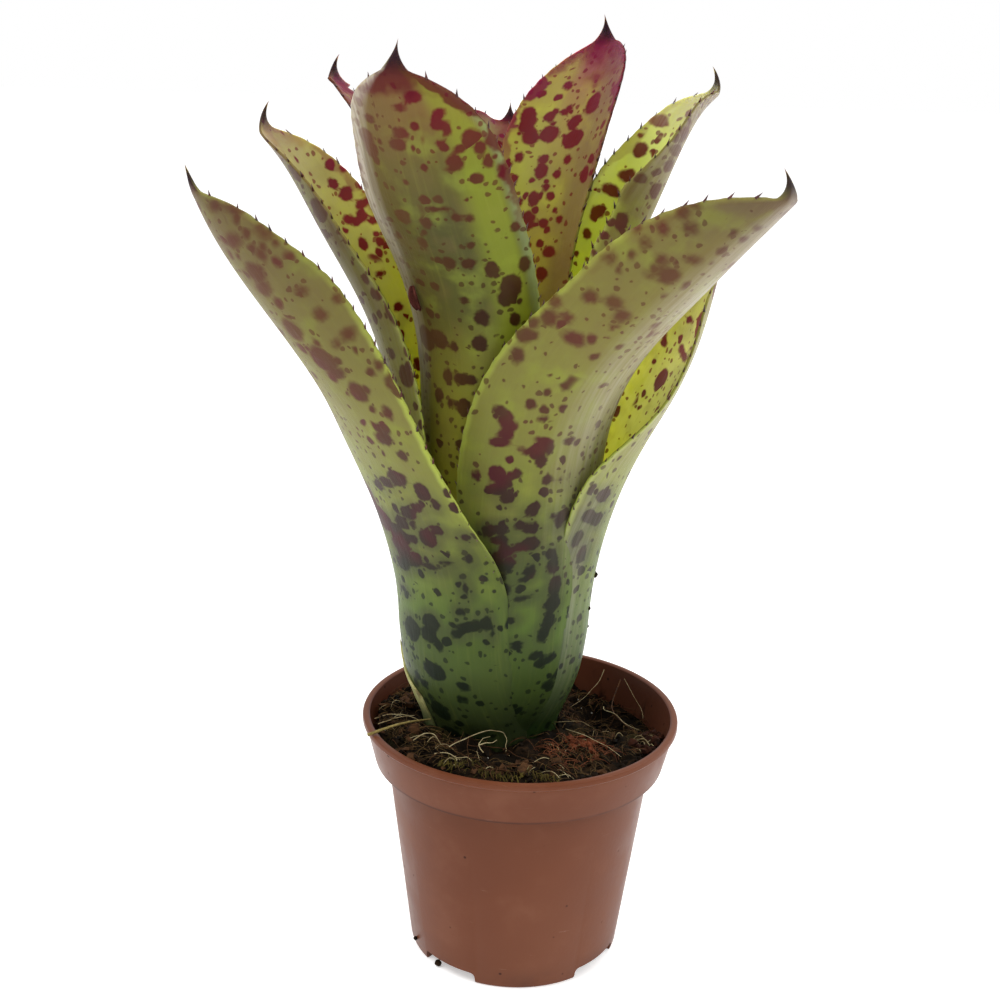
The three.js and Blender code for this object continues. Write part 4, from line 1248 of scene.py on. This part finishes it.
# The inside finish is a darker copy of the plastic, painted shade, smeared with the mix.
pot_piece([plastic_finish("pot_plastic"), plastic_finish("pot_plastic_inside", 1.0)])
bed_piece(peat_finish())
STEM = fleck_finish("stem_tissue", tint(96, 92, 52), tint(150, 148, 98), 400, relief=0.15)
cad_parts["stem"].data.materials.clear()
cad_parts["stem"].data.materials.append(STEM.material)


def tuft(draw, spot, length, rise, heading=None):
    """Points of a short fibre that starts on the mix and stands off it by its rise."""
    heading = draw.uniform(0, math.tau) if heading is None else heading + draw.uniform(-0.7, 0.7)
    bend = draw.uniform(-0.6, 0.6)
    points = []
    for k in range(5):
        out = Vector((math.cos(heading + bend * k / 4), math.sin(heading + bend * k / 4), 0)) * length * k / 4
        points.append(spot + out + Vector((0, 0, 0.1 + rise * math.sin(math.pi * (0.1 + k / 5)))))
    return points


def kinked(draw, points, reach):
    """The same strand with twice the points, moved about by up to the reach."""
    rows = [Vector(points[0])]
    for start, end in zip(points, points[1:]):
        for share in (0.5, 1.0):
            stray = astray(draw, reach)
            stray.z *= 0.4
            rows.append(Vector(start).lerp(Vector(end), share) + stray)
    return rows


def somewhere(low=0.0, high=1.0, start=0, end=360):
    """A rule that draws a place on the mix: a share from the tube to the wall and an azimuth."""
    return lambda draw: (low + (high - low) * draw.random() ** 0.7, draw.uniform(start, end))


def scattered(draw, count, where, length, rise, radius):
    """Short fibres on the mix. They lean in over it near the pot's wall."""
    strands = []
    for _ in range(count):
        share, azimuth = where(draw)
        inwards = math.radians(azimuth + 180) if share > 0.8 else None
        points = tuft(draw, bed_point(share, azimuth), draw.uniform(*length), draw.uniform(*rise), inwards)
        thick = draw.uniform(*radius)
        in_pit = min((points[k].xy - PIT).length for k in (0, 4)) < PIT_REACH
        in_hollow = (points[0].xy - HOLLOW).length < HOLLOW_REACH * 0.8
        if not in_pit and not (in_hollow and draw.random() < 0.75):
            strands.append((points, thick))
    return strands


CRUMB = fleck_finish("peat_crumb", tint(4, 3, 2), tint(34, 24, 15))
CHIP = fleck_finish("bark_chip", tint(26, 17, 12), tint(88, 60, 38), 500, stretch=(1, 3, 1))
HEAPED = fleck_finish("heaped_crumb", tint(16, 9, 7), tint(72, 40, 28))
COIR = fleck_finish("coir", tint(56, 28, 17), tint(118, 62, 38), 900)
GRAIN = fleck_finish("white_grain", tint(176, 172, 160), tint(224, 222, 214))
crumbs_piece("peat_crumbs", CRUMB, 700, (0.45, 1.7), 3)
crumbs_piece("bark_chips", CHIP, 70, (1.2, 3.2), 5, flatness=(0.25, 0.5))
crumbs_piece("heaped_crumbs", HEAPED, 60, (0.7, 2.0), 11, somewhere(0.75, 1, 335, 358), sink=-0.5)
crumbs_piece("coir_chunk", COIR, 50, (0.7, 2.0), 8, somewhere(0.2, 0.6, 318, 334), sink=-0.1)
crumbs_piece("white_grains", GRAIN, 16, (0.3, 0.6), 9, sink=-0.3)

# The loose roots that show most, each as its radius and its points.
CREAM_ROOTS = [
    (0.1, [(-13, -14.7, 47.2), (-11, -14.6, 48.4), (-9.2, -14.2, 49.3), (-6.8, -13, 49.8),
           (-4.8, -12.2, 49.6), (-3, -11.8, 49), (-2.4, -12.6, 48), (-2.6, -14.4, 47.2),
           (-2.8, -15.2, 46.8)]),
    (0.1, [(-6.7, -16.5, 47.2), (-7.6, -15.2, 48), (-6.9, -13.8, 48.6), (-5.8, -13.4, 48.9)]),
    (0.12, [(-7.6, -15.2, 48), (-6.2, -14.9, 48.4), (-5.2, -14.6, 48.3), (-4.5, -14.2, 48.6)]),
    (0.09, [(-15.5, -18.6, 47.8), (-13.5, -18.9, 48.2), (-11.6, -20.2, 48), (-9.6, -20, 48.2),
            (-8.2, -21.8, 47.7)]),
    (0.1, [(-26.5, -7.8, 48), (-24.6, -7.6, 48.6), (-23, -6.4, 48.9), (-20.6, -6.2, 49),
           (-18.6, -6.8, 48.4)]),
    (0.09, [(-27.5, -4.4, 47.4), (-25, -3.6, 48), (-22, -3.8, 48.2), (-20, -3, 47.6)]),
    (0.07, [(6.5, -2.2, 46.6), (8.5, -2.9, 47.2), (11, -2.6, 47.3), (13, -3.6, 46.8)]),
    (0.06, [(8.5, -6.5, 47.4), (12, -9.5, 47.8), (15.5, -13, 47.6), (18.5, -16.5, 47)]),
    (0.055, [(17.3, 21.2, 47.2), (16, 18, 45.6), (13.5, 13.5, 44.6), (10, 9.5, 44.2)]),
    (0.045, [(21.2, 17.4, 47), (22.6, 13, 45.8), (23.6, 7, 46), (23.8, 1, 46.4)]),
    (0.11, [(-19.6, -13.6, 47.8), (-17.8, -12.2, 48.6), (-15.8, -12.6, 48.6), (-14.6, -14.8, 47.6)]),
    (0.08, [(16.5, 8, 45.2), (16.2, 4, 46.6), (18.5, 0.5, 47.4), (19.5, -3.5, 47.3), (22.5, -5.8, 47.1)]),
]
STOUT_ROOT = [
    (-28, -12.9, 48.3), (-25.6, -11.8, 48.8), (-22.6, -9.8, 49.2), (-19.6, -7.2, 48.6), (-16.8, -5.6, 48.2)
]
LONG_FIBRE = [(20.5, 17.8, 46.6), (18.4, 12, 44.4), (17.4, 4, 46.6), (19, -4, 47.8), (22, -8, 47.6)]

draw = random.Random(21)
cream = [(kinked(draw, points, 0.28), radius) for radius, points in CREAM_ROOTS]
cream += scattered(draw, 40, somewhere(0, 1, 170, 370), (1.5, 4.5), (0.3, 1.5), (0.05, 0.09))
cream += scattered(draw, 12, somewhere(0.8, 1, 335, 358), (1.2, 3), (0.6, 1.8), (0.06, 0.1))
brown = []
for _ in range(90):
    start, length, lift = (draw.random(), draw.uniform(0, 360)), draw.uniform(5, 18), draw.uniform(0.2, 1.6)
    brown.append((wandering(draw, *start, length, lift), draw.uniform(0.05, 0.1)))
brown.append((LONG_FIBRE, 0.13))
stout = [(STOUT_ROOT, 0.3)]
fine = scattered(draw, 760, somewhere(), (1.2, 5), (0.1, 1.5), (0.04, 0.08))
shaggy = scattered(draw, 130, somewhere(0.15, 0.7, 296, 334), (1.5, 4), (0.3, 1.5), (0.05, 0.09))
mossy = scattered(draw, 170, somewhere(0.7, 1, 236, 288), (0.7, 2.2), (0.2, 1.3), (0.05, 0.12))

# The scrap's place on its leaf, its reach along it, the radius it curls to and its thickness.
SCRAP_ALONG, SCRAP_ACROSS = 93.0, -8.2
SCRAP_REACH, SCRAP_CURL, SCRAP_THICKNESS = 2.4, 0.8, 0.22
# The clinging crumbs: places by the pot's foot or along and across the leaf at the right, and their sizes.
FOOT_SPECKS = (((-14.4, -13.9, 0.74), 1.3), ((-19.1, -8.5, 2.4), 0.8))
LEAF_SPECKS = ((39.8, -5.2, 1.3), (33.5, -6.4, 0.85), (28.9, -4.1, 0.6))


def scrap_piece(finish):
    """A curled, dead scrap of the margin of the middle leaf in front."""
    blade = BLADES["leaf_front_centre"]
    bm = bmesh.new()
    bmesh.ops.create_grid(bm, x_segments=8, y_segments=12, size=1)
    place = np.array([SCRAP_ACROSS / blade.half_width(SCRAP_ALONG)])
    seat = Vector(blade.points(SCRAP_ALONG, place)[0])
    out = Vector(blade.outward(SCRAP_ALONG, np.array([-0.8]))[0])
    up = (Vector(blade.points(SCRAP_ALONG + 2, place)[0]) - seat).normalized()
    aside = out.cross(up).normalized()
    for vert in bm.verts:
        curl = 0.5 + vert.co.x * 1.9
        taper = 1 - 0.45 * vert.co.y**2
        arm = (out * (1 - math.cos(curl)) + aside * math.sin(curl)) * SCRAP_CURL * taper
        vert.co = seat + out * 0.6 + arm + up * vert.co.y * SCRAP_REACH
    bmesh.ops.recalc_face_normals(bm, faces=bm.faces)
    bmesh.ops.solidify(bm, geom=bm.faces[:], thickness=SCRAP_THICKNESS)
    add_piece("curled_scrap", bm, [finish], "leaf_blade")


def specks_piece(finish):
    """Crumbs of the mix that cling to a leaf and to the pot's foot."""
    draw = random.Random(31)
    blade = BLADES["leaf_right"]
    spots = [(Vector(place), size) for place, size in FOOT_SPECKS]
    for along, wide, size in LEAF_SPECKS:
        share = np.array([wide / blade.half_width(along)])
        out = Vector(blade.outward(along, share)[0]) * (THICKNESS / 2 - size * 0.1)
        spots.append((Vector(blade.points(along, share)[0]) + out, size))
    bm = bmesh.new()
    for spot, size in spots:
        seat = Matrix.Translation(spot)
        for vert in bmesh.ops.create_icosphere(bm, subdivisions=2, radius=size / 2, matrix=seat)["verts"]:
            vert.co += astray(draw, size * 0.08)
    add_piece("clinging_specks", bm, [finish], "peat_mix", smooth=False)


scrap_piece(fleck_finish("dead_margin", tint(44, 14, 14), tint(112, 62, 54), 500))
specks_piece(fleck_finish("clinging_speck", tint(8, 6, 4), tint(50, 36, 24)))

# Each piece of strands: its name, its material's name, colours, fineness and roughness, then its strands and
# the steps of their curves.
STRAND_PIECES = (
    ("cream_roots", "cream_root", tint(120, 98, 62), tint(206, 192, 150), 900, (0.45, 0.7), cream, 4),
    ("stout_root", "stout_root", tint(104, 88, 44), tint(176, 158, 98), 900, (0.45, 0.7), stout, 4),
    ("brown_fibres", "brown_fibre", tint(28, 17, 11), tint(98, 66, 42), 900, (0.5, 0.8), brown, 4),
    ("fine_fibres", "fine_fibre", tint(21, 15, 9), tint(112, 88, 54), 600, (0.5, 0.8), fine, 2),
    ("coir_fibres", "coir_fibre", tint(58, 30, 20), tint(136, 82, 54), 600, (0.5, 0.8), shaggy, 2),
    ("moss", "moss_green", tint(24, 22, 10), tint(102, 90, 40), 600, (0.5, 0.8), mossy, 2),
)
for name, material, dark, light, fineness, rough, strands, steps in STRAND_PIECES:
    strand_piece(name, fleck_finish(material, dark, light, fineness, rough, 0.03), strands, steps)

# ---- floor, light and camera ----
def floor_finish():
    finish = Finish("floor", Roughness=0.9, Emission_Color=(1, 1, 1, 1), Emission_Strength=0.45)
    patch = finish.noise(finish.coordinates(), 3)
    return finish.set(Base_Color=finish.ramp(patch, (0.3, tint(240, 240, 240)), (0.7, tint(244, 244, 243))))


floor_mesh = bmesh.new()
bmesh.ops.create_grid(floor_mesh, x_segments=1, y_segments=1, size=3000)
add_piece("floor", floor_mesh, [floor_finish()], None)

SCENE.world = bpy.data.worlds.new("studio")
SCENE.world.use_nodes = True
sky = SCENE.world.node_tree
direction = sky.nodes.new("ShaderNodeTexCoord")
split = sky.nodes.new("ShaderNodeSeparateXYZ")
shade = sky.nodes.new("ShaderNodeMapRange")
sky.links.new(direction.outputs["Generated"], split.inputs[0])
sky.links.new(split.outputs["Y"], shade.inputs["Value"])
for key, value in {"From Min": -1, "From Max": 0.5, "To Min": 0.26, "To Max": 1.0}.items():
    shade.inputs[key].default_value = value
sky.nodes["Background"].inputs["Color"].default_value = (1, 1, 1, 1)
sky.links.new(shade.outputs[0], sky.nodes["Background"].inputs["Strength"])
SCENE.view_settings.view_transform = "Standard"


def softbox(name, place, aim, size, power):
    light = bpy.data.lights.new(name, "AREA")
    light.shape, light.size, light.energy = "DISK", size, power
    made = bpy.data.objects.new(name, light)
    made.location = place
    made.rotation_euler = (Vector(aim) - Vector(place)).to_track_quat("-Z", "Y").to_euler()
    SCENE.collection.objects.link(made)


softbox("window_left", (-0.34, -0.16, 0.68), (0, 0, 0.09), 0.45, 2.7)
softbox("window_right", (0.44, -0.26, 0.5), (0, 0, 0.09), 0.4, 1.3)
softbox("window_back", (0.46, 0.34, 0.5), (0, 0, 0.1), 0.4, 1.5)

camera = bpy.data.cameras.new("camera")
camera.lens, camera.sensor_width = LENS, SENSOR
camera.clip_start, camera.clip_end = 0.01, 20
viewer = bpy.data.objects.new("camera", camera)
viewer.matrix_world = camera_seat()
SCENE.collection.objects.link(viewer)
SCENE.camera = viewer
